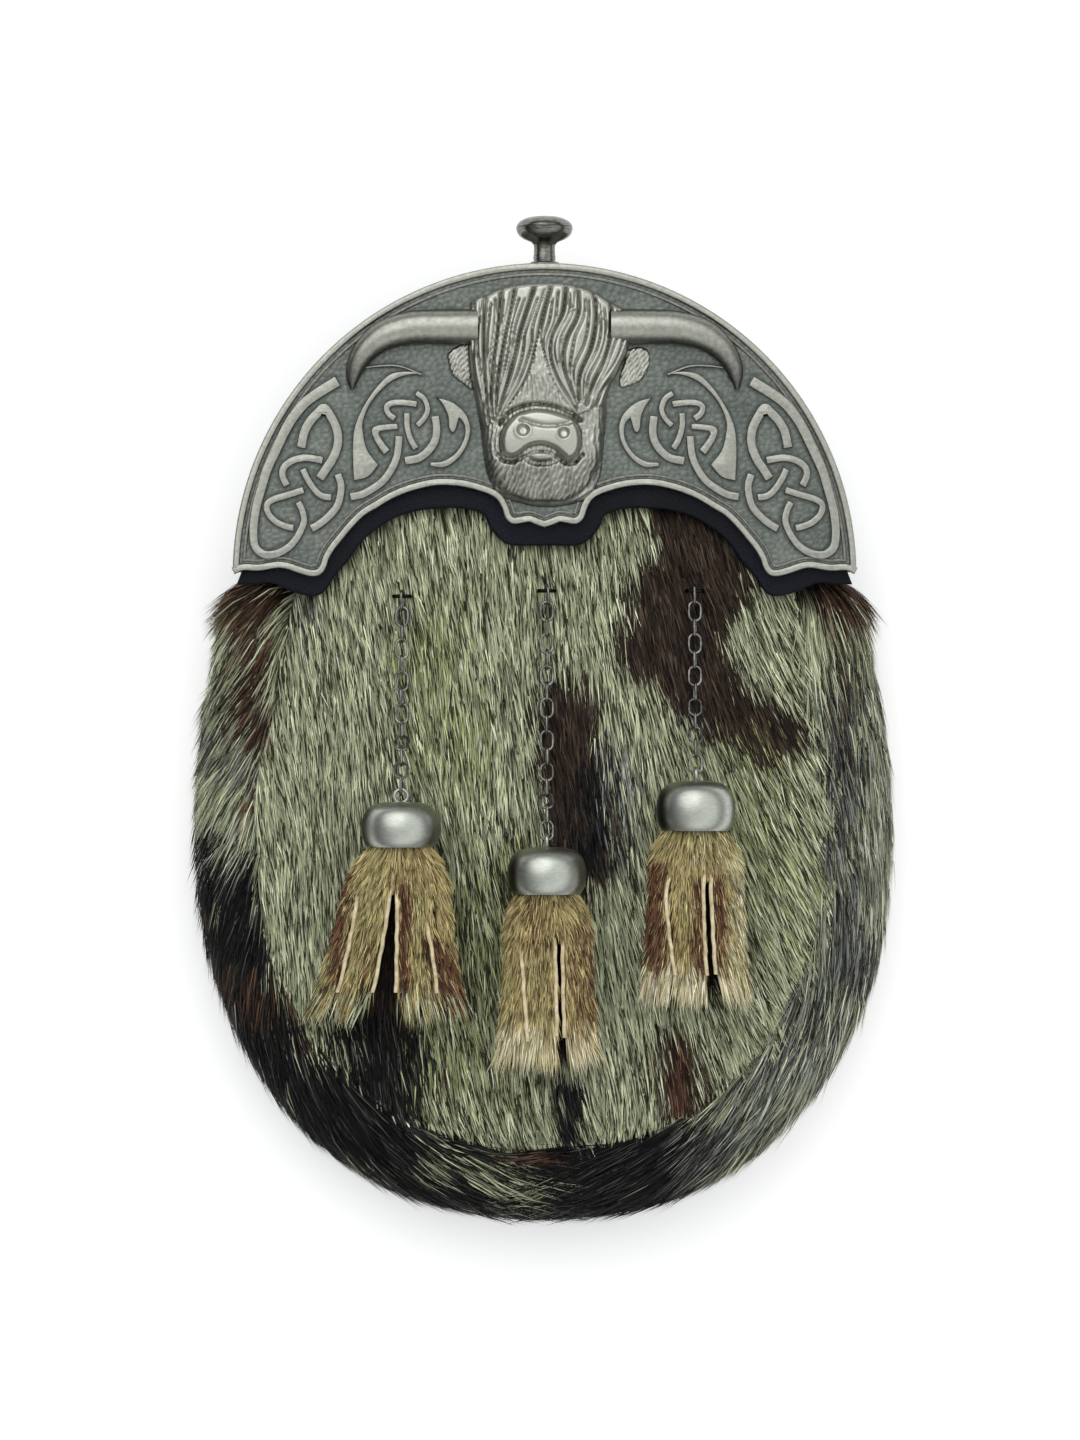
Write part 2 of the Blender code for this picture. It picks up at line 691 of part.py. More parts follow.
def seat(thing):
    """Cuts a figure off flat, a little below the face of the cantle's plate."""
    bm = bmesh.new()
    bm.from_mesh(thing.data)
    bm.transform(thing.matrix_world)
    thing.matrix_world = Matrix()
    cut = bmesh.ops.bisect_plane(
        bm, geom=bm.verts[:] + bm.edges[:] + bm.faces[:], plane_co=(0, 0, PLATE_TOP - RELIEF_ROOT),
        plane_no=(0, 0, -1), clear_outer=True,
    )  # fmt: skip
    rim = [item for item in cut["geom_cut"] if isinstance(item, bmesh.types.BMEdge)]
    if rim:
        bmesh.ops.contextual_create(bm, geom=rim)
    bmesh.ops.recalc_face_normals(bm, faces=bm.faces)
    bm.to_mesh(thing.data)
    bm.free()
    return thing


def dome(name, middle, half_width, half_height, height, lift=0):
    """A rounded boss, whose middle is at lift over the face of the cantle's plate."""
    bm = bmesh.new()
    bmesh.ops.create_uvsphere(bm, u_segments=BOSS_SEGMENTS, v_segments=BOSS_RINGS, radius=1)
    size = Matrix.Diagonal((half_width * MM, half_height * MM, height * MM, 1))
    bm.transform(Matrix.Translation((*from_view(*middle), PLATE_TOP + lift * MM)) @ size)
    return object_from(bm, name)


def boss_height(x, y, middle, half_width, half_height, height):
    """How high a dome of that size stands over the plate at x, y."""
    mid_x, mid_y = from_view(*middle)
    away = ((x - mid_x) / (half_width * MM)) ** 2 + ((y - mid_y) / (half_height * MM)) ** 2
    return height * MM * math.sqrt(max(1 - away, 0))


def hair_lock(name, points, boss):
    """A tapering lock that lies on a dome."""
    line = [from_view(*point) for point in points]
    places = [(x, y, PLATE_TOP + max(boss_height(x, y, *boss), LOCK_LOWEST)) for x, y in line]
    return tube(name, places, [LOCK_WIDTH * share for share in LOCK_TAPER], 0)


def knots():
    """The raised strands of the four knots."""
    outlines = []
    for first, last, points in KNOT_STRANDS:
        line = [from_view(*point) for point in points]
        steps = len(line) - 1
        halves = [(first + (last - first) * i / steps) * UNIT / 2 for i in range(steps + 1)]
        outline = ribbon(line, halves)
        outlines += [outline, mirrored(outline)[::-1]]
    return flat_solid("knots", outlines, PLATE_TOP - RELIEF_ROOT, STRAND_TOP)


def head():
    """The raised head: skull, muzzle, lip, beard, horns, ears and locks of hair."""
    pieces = []
    for side, sign in (("left", 1), ("right", -1)):
        line = [from_view(*point) for point in HORN_LINE]
        horn = [(sign * x, y, PLATE_TOP + HORN_LIFT) for x, y in line]
        pieces.append(tube(f"horn_{side}", horn, [radius * MM for radius in HORN_RADII]))
    bosses = {"skull": SKULL, "beard": BEARD, "muzzle": MUZZLE, "lip": LIP}
    pieces += [dome(name, *sizes) for name, sizes in bosses.items()]
    for i, points in enumerate(HAIR_LOCKS):
        pieces.append(hair_lock(f"hair_lock_{i}", points, SKULL))
    for i, points in enumerate(BEARD_LOCKS):
        pieces.append(hair_lock(f"beard_lock_{i}", points, BEARD))
    return [seat(piece) for piece in pieces]


def cantle():
    plate_edge = lower_line(LOWER_RIM)
    mid_radius = ARC_RADIUS - ARC_WALL / 2
    ends = arc_end(mid_radius, ARC_CENTRE_Y + RIM_WIDTH * 2 / 3)
    under_rim = [
        (x - normal.x * RIM_WIDTH / 3, y - normal.y * RIM_WIDTH / 3)
        for (x, y), normal in zip(plate_edge, normals_of(plate_edge))
    ]
    plate_outline = under_rim[1:-1] + arc(mid_radius, ends, 180 - ends, ARC_STEPS)
    body = show(flat_solid("cantle", [plate_outline], PLATE_Z, PLATE_TOP))
    start = arc_end(ARC_RADIUS, ARC_CENTRE_Y + RIM_WIDTH / 9)
    outer = arc(ARC_RADIUS, start, 180 - start, ARC_STEPS)
    inner = arc(ARC_RADIUS - ARC_WALL, start, 180 - start, ARC_STEPS)
    combine(body, flat_solid("arc_wall", [outer + inner[::-1]], WALL_LOW_Z, RIM_TOP), "UNION")
    rim = ribbon(plate_edge, [RIM_WIDTH / 2] * len(plate_edge))
    combine(body, flat_solid("lower_rim", [rim], PLATE_TOP - RELIEF_ROOT, RIM_TOP), "UNION")
    top_y = ARC_CENTRE_Y + ARC_RADIUS
    collar = cylinder_on_knob_line("collar", COLLAR_RADIUS, 2 * COLLAR_HEIGHT, top_y, 12)
    combine(body, collar, "UNION")
    for piece in [knots(), *head()]:
        combine(body, piece, "UNION")
    stem_hole = cylinder_on_knob_line(
        "stem_hole", KNOB_STEM_RADIUS + GAP, 8 * ARC_WALL, top_y, 16
    )
    combine(body, stem_hole, "DIFFERENCE")
    for i, place in enumerate(NOSTRILS):
        dent = dome(f"nostril_{i}", place, *[NOSTRIL_RADIUS] * 3, NOSTRIL_LIFT)
        combine(body, dent, "DIFFERENCE")
    as_part(body, "cantle", "pewter")


def knob():
    profile = [(along * MM, radius * MM) for along, radius in KNOB_PROFILE]
    made = show(turned("knob", profile, KNOB_STEPS, (0, ARC_CENTRE_Y, KNOB_Z)))
    as_part(made, "knob", "bright_metal")


# Chains and tassels


def cap_middle_z(x, lip_y):
    """Height of a cap's middle line, with its lip on the fur."""
    return fur_top(x, lip_y) + CAP_WIDEST + GAP


def chain_height(x, y, last_y, cap_z):
    """Height of a chain's middle line: on the fur, then up to its cap's ring at last_y."""
    share = min(max((last_y + CHAIN_RISE_LENGTH - y) / CHAIN_RISE_LENGTH, 0), 1)
    rise = share * share * (3 - 2 * share)
    resting = fur_top(x, y) + CHAIN_LIFT
    return resting + (cap_z - resting) * rise


def link_reach(pitch):
    """From a link's middle to the middle of the wire at its end."""
    facet = WIRE_RADIUS * math.cos(math.pi / WIRE_SIDES)
    return (pitch + 2 * facet - LINK_BITE) / 2


def link_mesh(pitch):
    """One link in the XY plane, its long side along Y."""
    bpy.ops.mesh.primitive_torus_add(
        major_segments=LINK_STEPS, minor_segments=WIRE_SIDES,
        major_radius=LINK_SPREAD, minor_radius=WIRE_RADIUS,
    )  # fmt: skip
    ring = bpy.context.active_object
    stretch = link_reach(pitch) - LINK_SPREAD * math.cos(math.pi / LINK_STEPS)
    bm = bmesh.new()
    bm.from_mesh(ring.data)
    bpy.data.objects.remove(ring, do_unlink=True)
    for vert in bm.verts:
        if abs(vert.co.y) > 0.5 * WIRE_RADIUS:
            vert.co.y += math.copysign(stretch, vert.co.y)
    mesh = bpy.data.meshes.new("link")
    bm.to_mesh(mesh)
    bm.free()
    return mesh


def even_places(height, first_y, last_y):
    """Places of a chain's links with their slopes, evenly spaced along its line, and the pitch."""
    samples = 400
    line = []
    for i in range(samples + 1):
        y = first_y + (last_y - first_y) * i / samples
        line.append(Vector((0, y, height(y))))
    lengths = [0.0]
    for one, two in zip(line, line[1:]):
        lengths.append(lengths[-1] + (two - one).length)
    count = round(lengths[-1] / LINK_PITCH)
    places = []
    for k in range(count + 1):
        wanted = lengths[-1] * k / count
        i = max(j for j in range(samples) if lengths[j] <= wanted + 1e-9)
        span = line[i + 1] - line[i]
        place = line[i] + span * ((wanted - lengths[i]) / (lengths[i + 1] - lengths[i]))
        places.append((place, math.atan2(span.z, -span.y)))
    return places, lengths[-1] / count


def chain(side, x, first_y, last_y, cap_z):
    """A chain of interlocked links, each turned a quarter from the last, as one body."""
    places, pitch = even_places(lambda y: chain_height(x, y, last_y, cap_z), first_y, last_y)
    link = link_mesh(pitch)
    halves = [bmesh.new(), bmesh.new()]
    for k, (place, slope) in enumerate(places):
        turn = Matrix.Rotation(math.pi / 2 * ((k + 1) % 2), 4, "Y")
        matrix = Matrix.Translation((x, place.y, place.z)) @ Matrix.Rotation(-slope, 4, "X") @ turn
        before = len(halves[k % 2].verts)
        halves[k % 2].from_mesh(link)
        halves[k % 2].verts.ensure_lookup_table()
        moved = halves[k % 2].verts[before:]
        bmesh.ops.transform(halves[k % 2], matrix=matrix, verts=moved)
    made = show(object_from(halves[0], f"chain_{side}"))
    combine(made, object_from(halves[1], f"other_links_{side}"), "UNION")
    as_part(made, f"chain_{side}", "dark_steel")
    return len(places)


def staple(side, x, y, height):
    """A wire staple whose bridge the chain's first link hangs on."""
    low = front_top(x, y) + GAP
    half = STAPLE_HALF_WIDTH
    side_line = [(half, low), (half, height - STAPLE_BEND), (half - STAPLE_BEND, height)]
    line = [(-across, up) for across, up in side_line] + side_line[::-1]
    points = [(x + across, y, up) for across, up in line]
    made = show(tube(f"chain_staple_{side}", points, [STAPLE_RADIUS] * len(points), 0))
    as_part(made, f"chain_staple_{side}", "dark_steel")


def cap(side, x, top_y, lip_y, middle_z, flat_ring):
    """A barrel shaped cap, open at its lip, with a ring for the chain."""
    height = top_y - lip_y
    outside = [(height, 0)] + [(height * up, radius * MM) for up, radius in CAP_PROFILE]
    inside = [(height * up, radius * MM - CAP_WALL) for up, radius in CAP_PROFILE[2:]]
    inside = [(height - CAP_WALL, 0), (height - CAP_WALL, CAP_TOP_ROOM), *inside]
    place = (x, lip_y, middle_z)
    made = show(turned(f"tassel_cap_{side}", outside + inside[::-1], CAP_STEPS, place))
    bpy.ops.mesh.primitive_torus_add(
        major_segments=RING_STEPS, minor_segments=WIRE_SIDES,
        major_radius=RING_RADIUS, minor_radius=RING_WIRE,
    )  # fmt: skip
    ring = bpy.context.active_object
    for old in list(ring.users_collection):
        old.objects.unlink(ring)
    ring = helper(ring)
    ring.name = f"cap_ring_{side}"
    ring.location = (x, ring_place(top_y), middle_z)
    ring.rotation_euler.y = 0 if flat_ring else math.pi / 2
    combine(made, ring, "UNION")
    as_part(made, f"tassel_cap_{side}", "bright_metal")


def ring_place(cap_top_y):
    return cap_top_y + RING_RADIUS - RING_SUNK


def strip(name, start, end):
    """One hide strip of a tassel, lofted through a few five sided sections."""
    bm = bmesh.new()
    rings = []
    for along, outward, half_width, half_thickness in STRIP_SECTIONS:
        x = start.x + (end.x - start.x) * outward
        y = start.y + (end.y - start.y) * along
        z = start.z + (end.z - start.z) * along**STRIP_SAG
        rings.append([
            bm.verts.new((x + u * half_width * MM, y, z + v * half_thickness * MM))
            for u, v in STRIP_CORNERS
        ])
    for ring, next_ring in zip(rings, rings[1:]):
        for i in range(len(ring)):
            j = (i + 1) % len(ring)
            bm.faces.new((ring[i], ring[j], next_ring[j], next_ring[i]))
    bm.faces.new(rings[0])
    bm.faces.new(rings[-1][::-1])
    return object_from(bm, name)


def tassel(side, x, lip_y, end_y, half_width, cap_z):
    """A tassel: strips fused to a head that fills the cap's mouth."""
    end_z = fur_top(x, end_y) + TASSEL_REST
    room = half_width - STRIP_SECTIONS[-1][2] * MM
    made = show(cylinder(
        f"tassel_{side}", TASSEL_HEAD_RADIUS, TASSEL_HEAD_LENGTH, CAP_STEPS, TASSEL_HEAD_TOP_RADIUS
    ))
    place = Matrix.Translation((x, lip_y + TASSEL_HEAD_Y, cap_z))
    made.data.transform(place @ Matrix.Rotation(-math.pi / 2, 4, "X"))
    for i, (x_top, z_top, share, z_end) in enumerate(TASSEL_STRIPS):
        start = Vector((x + x_top * MM, lip_y + STRIP_START, cap_z + z_top * MM))
        end = Vector((x + share * room, end_y, end_z + z_end * MM))
        combine(made, strip(f"strip_{side}_{i}", start, end), "UNION")
    as_part(made, f"tassel_{side}", "tan_fur")


def dangles():
    hook_reach = link_reach(LINK_PITCH) - HOOK_CLEARANCE
    for side, sizes in DANGLES.items():
        x, staple_y, top_y, lip_y, end_y, half_width = (value * MM for value in sizes)
        cap_z = cap_middle_z(x, lip_y)
        last_y = ring_place(top_y) + RING_RADIUS + hook_reach
        links = chain(side, x, staple_y - hook_reach, last_y, cap_z)
        staple(side, x, staple_y, chain_height(x, staple_y, last_y, cap_z))
        cap(side, x, top_y, lip_y, cap_z, flat_ring=links % 2 == 1)
        tassel(side, x, lip_y, end_y, half_width, cap_z)


front_panel()
front_fur()
side_gusset()
band_fur()
back_panel()
top_gusset()
strap_loops()
cantle_liner()
cantle()
knob()
dangles()
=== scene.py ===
"""The looks of a dress sporran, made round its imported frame: fur, cast metal, chains and leather.

The pouch lies on its back, +Y runs up to the knob, and the camera looks down on its front. Places that
are read in the front view are in that view's pixels, whose size on the object is UNIT.
"""

import math

import bmesh
import bpy
import numpy as np
from mathutils import Matrix, Vector
from mathutils.bvhtree import BVHTree
from mathutils.kdtree import KDTree


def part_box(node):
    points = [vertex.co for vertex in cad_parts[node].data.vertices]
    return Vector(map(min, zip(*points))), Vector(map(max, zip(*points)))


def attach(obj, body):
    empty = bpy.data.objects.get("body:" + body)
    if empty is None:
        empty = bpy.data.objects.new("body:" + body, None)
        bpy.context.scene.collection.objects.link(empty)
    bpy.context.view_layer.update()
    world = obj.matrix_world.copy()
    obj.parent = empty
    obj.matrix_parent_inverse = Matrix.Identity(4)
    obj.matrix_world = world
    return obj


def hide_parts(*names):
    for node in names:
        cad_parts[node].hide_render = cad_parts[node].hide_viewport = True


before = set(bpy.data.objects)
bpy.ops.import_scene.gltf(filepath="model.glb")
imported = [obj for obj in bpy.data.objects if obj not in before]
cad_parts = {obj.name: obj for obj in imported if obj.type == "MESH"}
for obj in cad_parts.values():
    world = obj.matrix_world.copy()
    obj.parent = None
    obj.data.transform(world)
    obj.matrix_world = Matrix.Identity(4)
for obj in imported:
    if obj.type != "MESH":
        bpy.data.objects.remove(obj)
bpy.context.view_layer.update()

MM = 0.001
GAP = 0.3 * MM
UNIT = 0.257 * MM
VIEW_AXIS_X = 544.5
VIEW_MIDDLE_Y = 717
VIEW_SIZE = (1080, 1440)
POUCH = "pouch"
RANDOM = np.random.default_rng(7)

# Levels and places that the frame gives
FUR_LOW, FUR_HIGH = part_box("band_fur")
_, GUSSET_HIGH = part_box("top_gusset")
LINER_LOW, LINER_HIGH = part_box("cantle_liner")
CANTLE_LOW, CANTLE_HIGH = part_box("cantle")
KNOB_LOW, KNOB_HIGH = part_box("knob")
ARC_CENTRE_Y = GUSSET_HIGH.y - GUSSET_HIGH.x
ARC_RADIUS = CANTLE_HIGH.x
PLATE_Z = LINER_HIGH.z + 2 * GAP
PLATE_TOP = PLATE_Z + 1.8 * MM
RIM_TOP = PLATE_TOP + 0.8 * MM
WIDEST_Y = -31 * MM

# Camera and light
CAMERA_HEIGHT = 1.6
FOCUS_HEIGHT = PLATE_TOP  # the height at which a pixel of the view is UNIT wide
SENSOR = 36
WORLD_LIGHT = 1.27
FLOOR_GLOW = 0.35
# The world's screen colours, by height of the direction and from left to right
SKY = ((0.0, (60, 62, 62)), (0.2, (110, 112, 112)), (0.55, (250, 252, 252)), (0.85, (240, 242, 242)),
       (1.0, (205, 206, 206)))
SKY_ASIDE = ((0.0, (90, 90, 90)), (0.3, (200, 200, 200)), (0.45, (255, 255, 255)), (1.0, (255, 255, 255)))
KEY_PLACE = (-0.45, 0.8, 1.25)
KEY_TARGET = (0, 0, 0.03)
KEY_SIZE = 1.8
KEY_POWER = 10
FLOOR_SIZE = 6
FLOOR_Z = -0.0005
FLOOR_PALE = (0.86, 0.86, 0.86, 1)


def from_view(x, y):
    """A point of the front view as a place on the object."""
    return (x - VIEW_AXIS_X) * UNIT, (VIEW_MIDDLE_Y - y) * UNIT


def to_view(x, y):
    return x / UNIT + VIEW_AXIS_X, VIEW_MIDDLE_Y - y / UNIT


def linear(red, green, blue):
    """A screen colour, 0 to 255, as linear light."""
    values = np.array((red, green, blue), float) / 255
    return tuple(np.where(values <= 0.04045, values / 12.92, ((values + 0.055) / 1.055) ** 2.4))


# Materials


def add_node(tree, kind, inputs=None, **settings):
    """A shader node, whose inputs take values or other nodes' outputs."""
    made = tree.nodes.new(kind)
    for key, value in settings.items():
        setattr(made, key, value)
    for key, value in (inputs or {}).items():
        if isinstance(value, bpy.types.NodeSocket):
            tree.links.new(value, made.inputs[key])
        else:
            made.inputs[key].default_value = value
    return made


def new_look(name, roughness, metallic=0.0, **values):
    """A material with its tree and its Principled shader."""
    look = bpy.data.materials.new(name)
    look.use_nodes = True
    shader = look.node_tree.nodes["Principled BSDF"]
    shader.inputs["Roughness"].default_value = roughness
    shader.inputs["Metallic"].default_value = metallic
    for key, value in values.items():
        shader.inputs[key.replace("_", " ")].default_value = value
    return look, look.node_tree, shader


def ramp(tree, factor, stops):
    """A colour ramp with stops of (place, screen colour)."""
    made = add_node(tree, "ShaderNodeValToRGB", {"Fac": factor})
    elements = made.color_ramp.elements
    while len(elements) < len(stops):
        elements.new(0.5)
    for element, (place, colour) in zip(elements, stops):
        element.position = place
        element.color = (*linear(*colour), 1)
    return made.outputs["Color"]


def grain(tree, scale, detail=4.0, stretch=(1, 1, 1), kind="ShaderNodeTexNoise", **settings):
    """A texture in the object's own coordinates, in metres."""
    place = add_node(tree, "ShaderNodeTexCoord")
    mapping = add_node(tree, "ShaderNodeMapping", {"Vector": place.outputs["Object"], "Scale": stretch})
    inputs = {"Vector": mapping.outputs["Vector"], "Scale": scale}
    if kind == "ShaderNodeTexNoise":
        inputs["Detail"] = detail
    return add_node(tree, kind, inputs, **settings)


def bump(tree, shader, height, strength, distance):
    made = add_node(
        tree, "ShaderNodeBump", {"Height": height, "Strength": strength, "Distance": distance}
    )
    tree.links.new(made.outputs["Normal"], shader.inputs["Normal"])


def attribute(tree, name):
    return add_node(tree, "ShaderNodeAttribute", attribute_name=name)


def math_node(tree, operation, one, two):
    made = add_node(tree, "ShaderNodeMath", {0: one, 1: two}, operation=operation)
    return made.outputs["Value"]


def fur_look():
    look, tree, shader = new_look("fur", 0.55, Specular_IOR_Level=0.12)
    tree.links.new(attribute(tree, "hair").outputs["Color"], shader.inputs["Base Color"])
    return look


def pewter_look(name, dark, bright, roughness):
    """Cast metal, darker where the attribute tone is low: patina and painted shade in the hollows and on the
    lower sides of raised parts.
    """
    look, tree, shader = new_look(name, roughness, 1.0)
    speckle = grain(tree, 900, 5)
    tone = attribute(tree, "tone").outputs["Fac"]
    worn = math_node(tree, "MULTIPLY_ADD", speckle.outputs["Fac"], 0.45)
    worn.node.inputs[2].default_value = -0.22
    mixed = math_node(tree, "ADD", tone, worn)
    middle = tuple((a + b) // 2 for a, b in zip(dark, bright))
    colour = ramp(tree, mixed, ((0.0, dark), (0.5, middle), (1.0, bright)))
    tree.links.new(colour, shader.inputs["Base Color"])
    bump(tree, shader, grain(tree, 1500, 3).outputs["Fac"], 0.25, 0.0002)
    return look


def metal_look(name, dark, bright, roughness, stretch):
    """Turned metal with fine brush lines, with painted shade where the attribute tone is low."""
    look, tree, shader = new_look(name, roughness, 1.0)
    lines = grain(tree, 700, 4, stretch)
    clean_metal = ramp(tree, lines.outputs["Fac"], ((0.3, dark), (0.7, bright)))
    tone = attribute(tree, "tone").outputs["Fac"]
    # Dark where tone is low: painted shade
    painted_shade = ramp(tree, tone, ((0.0, (70, 70, 64)), (1.0, (255, 255, 255))))
    mixed = add_node(tree, "ShaderNodeVectorMath", {0: clean_metal, 1: painted_shade}, operation="MULTIPLY")
    tree.links.new(mixed.outputs["Vector"], shader.inputs["Base Color"])
    bump(tree, shader, lines.outputs["Fac"], 0.15, 0.0001)
    return look


def leather_look(name, dark, light, roughness=0.5):
    look, tree, shader = new_look(name, roughness, Specular_IOR_Level=0.15)
    cells = grain(tree, 700, kind="ShaderNodeTexVoronoi", feature="DISTANCE_TO_EDGE")
    cloud = grain(tree, 60, 5)
    colour = ramp(tree, cloud.outputs["Fac"], ((0.3, dark), (0.75, light)))
    tree.links.new(colour, shader.inputs["Base Color"])
    pores = add_node(tree, "ShaderNodeMath", {0: cells.outputs["Distance"], 1: 4.0}, operation="MULTIPLY")
    pores.use_clamp = True
    bump(tree, shader, pores.outputs["Value"], 0.3, 0.0003)
    return look


def hide_look():
    """The pale cut edges of the tassels' hide."""
    look, tree, shader = new_look("hide", 0.75)
    cloud = grain(tree, 500, 5)
    colour = ramp(tree, cloud.outputs["Fac"], ((0.3, (176, 156, 116)), (0.75, (236, 224, 192))))
    tree.links.new(colour, shader.inputs["Base Color"])
    bump(tree, shader, cloud.outputs["Fac"], 0.4, 0.0004)
    return look


LOOKS = {
    "fur": fur_look(),
    "ground": pewter_look("pewter_ground", (68, 74, 71), (136, 140, 133), 0.5),
    "relief": pewter_look("pewter_relief", (42, 42, 39), (180, 181, 171), 0.38),
    "knob": metal_look("knob_metal", (78, 80, 75), (138, 140, 131), 0.24, (1, 6, 1)),
    "cap": metal_look("cap_metal", (168, 172, 164), (190, 193, 184), 0.36, (1, 5, 1)),
    "steel": metal_look("chain_steel", (80, 80, 77), (150, 150, 145), 0.3, (1, 1, 1)),
    "black_leather": leather_look("black_leather", (5, 8, 15), (12, 17, 28)),
    "brown_leather": leather_look("brown_leather", (44, 32, 24), (84, 62, 46), 0.7),
    "hide": hide_look(),
}


# Meshes


def keep(thing, slot, *replaced, body=POUCH):
    """Makes thing a piece of the object that rides on a body."""
    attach(thing, body)
    if replaced:
        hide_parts(*replaced)
    return thing


def link_object(name, mesh, look=None, smooth_angle=None):
    thing = bpy.data.objects.new(name, mesh)
    bpy.context.scene.collection.objects.link(thing)
    if look:
        mesh.materials.append(LOOKS[look])
    if smooth_angle is not None:
        mesh.shade_smooth()
        mesh.set_sharp_from_angle(angle=math.radians(smooth_angle))
    return thing


def mesh_from(name, points, faces):
    mesh = bpy.data.meshes.new(name)
    mesh.from_pydata([tuple(point) for point in points], [], faces)
    mesh.update()
    return mesh


def object_of(bm, name, look=None, smooth_angle=None):
    mesh = bpy.data.meshes.new(name)
    bm.to_mesh(mesh)
    bm.free()
    return link_object(name, mesh, look, smooth_angle)


def joined(name, things):
    """One object from several."""
    bpy.ops.object.select_all(action="DESELECT")
    for thing in things:
        thing.select_set(True)
    bpy.context.view_layer.objects.active = things[0]
    bpy.ops.object.join()
    things[0].name = name
    things[0].data.name = name
    return things[0]


def smooth_line(points, per_span):
    """A Catmull-Rom line through points of any dimension."""
    points = np.array(points, float)
    ends = np.vstack([2 * points[0] - points[1], points, 2 * points[-1] - points[-2]])
    line = []
    for before, one, two, after in zip(ends, ends[1:], ends[2:], ends[3:]):
        for t in np.arange(per_span) / per_span:
            line.append(0.5 * (2 * one + (two - before) * t
                               + (2 * before - 5 * one + 4 * two - after) * t * t
                               + (3 * one - before - 3 * two + after) * t**3))
    line.append(points[-1])
    return np.array(line)


def view_line(points, per_span=5):
    """A smooth line of the front view as flat places on the object."""
    line = smooth_line(points, per_span)
    return np.column_stack(from_view(line[:, 0], line[:, 1]))


def side_steps(line):
    """Unit vectors to the left of a flat line."""
    along = np.gradient(line, axis=0)
    along /= np.linalg.norm(along, axis=1, keepdims=True)
    return np.column_stack([-along[:, 1], along[:, 0]])


def ribbon(line, widths):
    """The outline of a flat strip along line, with its width at evenly spread places."""
    places = np.linspace(0, 1, len(line))
    half = np.interp(places, np.linspace(0, 1, len(widths)), widths)[:, None] / 2
    step = side_steps(line) * half
    return np.vstack([line + step, (line - step)[::-1]])


def mirror(line):
    return np.array(line) * (-1, 1)


def arc(radius, start, stop, steps):
    """Points of a circle about the cantle's centre, with angles in degrees."""
    angles = np.radians(np.linspace(start, stop, steps + 1))
    return np.column_stack([radius * np.cos(angles), ARC_CENTRE_Y + radius * np.sin(angles)])


def flat_shape(name, outlines, low, top, rounding, look, rounding_steps=2):
    """Closed outlines as tall as from low to top, with rounded edges."""
    curve = bpy.data.curves.new(name, "CURVE")
    curve.dimensions = "2D"
    curve.fill_mode = "BOTH"
    curve.extrude = (top - low) / 2 - rounding
    curve.bevel_depth = rounding
    curve.bevel_resolution = rounding_steps
    curve.offset = -rounding
    for outline in outlines:
        spline = curve.splines.new("POLY")
        spline.points.add(len(outline) - 1)
        for point, (x, y) in zip(spline.points, outline):
            point.co = (x, y, 0, 1)
        spline.use_cyclic_u = True
    guide = bpy.data.objects.new(name, curve)
    bpy.context.scene.collection.objects.link(guide)
    mesh = bpy.data.meshes.new_from_object(guide.evaluated_get(bpy.context.evaluated_depsgraph_get()))
    bpy.data.objects.remove(guide, do_unlink=True)
    mesh.materials.clear()
    mesh.transform(Matrix.Translation((0, 0, (low + top) / 2)))
    bm = bmesh.new()
    bm.from_mesh(mesh)
    bmesh.ops.remove_doubles(bm, verts=bm.verts, dist=0.002 * MM)
    bm.to_mesh(mesh)
    bm.free()
    return link_object(name, mesh, look, 40)


def turned(profile, steps):
    """Points and faces of rows of (height, radius) turned about Z."""
    points, faces = [], []
    angles = np.linspace(0, 2 * math.pi, steps, endpoint=False)
    for height, radius in profile:
        points += [(radius * math.cos(a), radius * math.sin(a), height) for a in angles]
    for row in range(len(profile) - 1):
        for i in range(steps):
            j = (i + 1) % steps
            faces.append((row * steps + i, row * steps + j, (row + 1) * steps + j, (row + 1) * steps + i))
    return np.array(points), faces


def swept(lines, sections, cyclic=False):
    """Points and faces of a loft: rings[i] = lines[i] + sections[i], all of one length."""
    count, around = len(lines), len(sections[0])
    points = np.vstack([line + section for line, section in zip(lines, sections)])
    faces = []
    for row in range(count if cyclic else count - 1):
        after = (row + 1) % count
        for i in range(around):
            j = (i + 1) % around
            faces.append((row * around + i, row * around + j, after * around + j, after * around + i))
    if not cyclic:
        faces.append(tuple(range(around))[::-1])
        faces.append(tuple(range((count - 1) * around, count * around)))
    return points, faces


def set_tone(thing, values):
    """Writes the attribute that the metal's patina and painted shade follow, one value for each vertex."""
    tone = thing.data.attributes.new("tone", "FLOAT", "POINT")
    tone.data.foreach_set("value", np.asarray(values, np.float32))


def vertex_array(mesh):
    found = np.empty(len(mesh.vertices) * 3, np.float32)
    mesh.vertices.foreach_get("co", found)
    return found.reshape(-1, 3).astype(float)


def tone_by_height(thing, low, high, least=0.15, most=1.0):
    # Tone rises with height from least to most, so lower parts are darker: painted shade
    z = vertex_array(thing.data)[:, 2]
    set_tone(thing, least + (most - least) * np.clip((z - low) / (high - low), 0, 1))


# Coats: screen colours of the hairs and the share of each

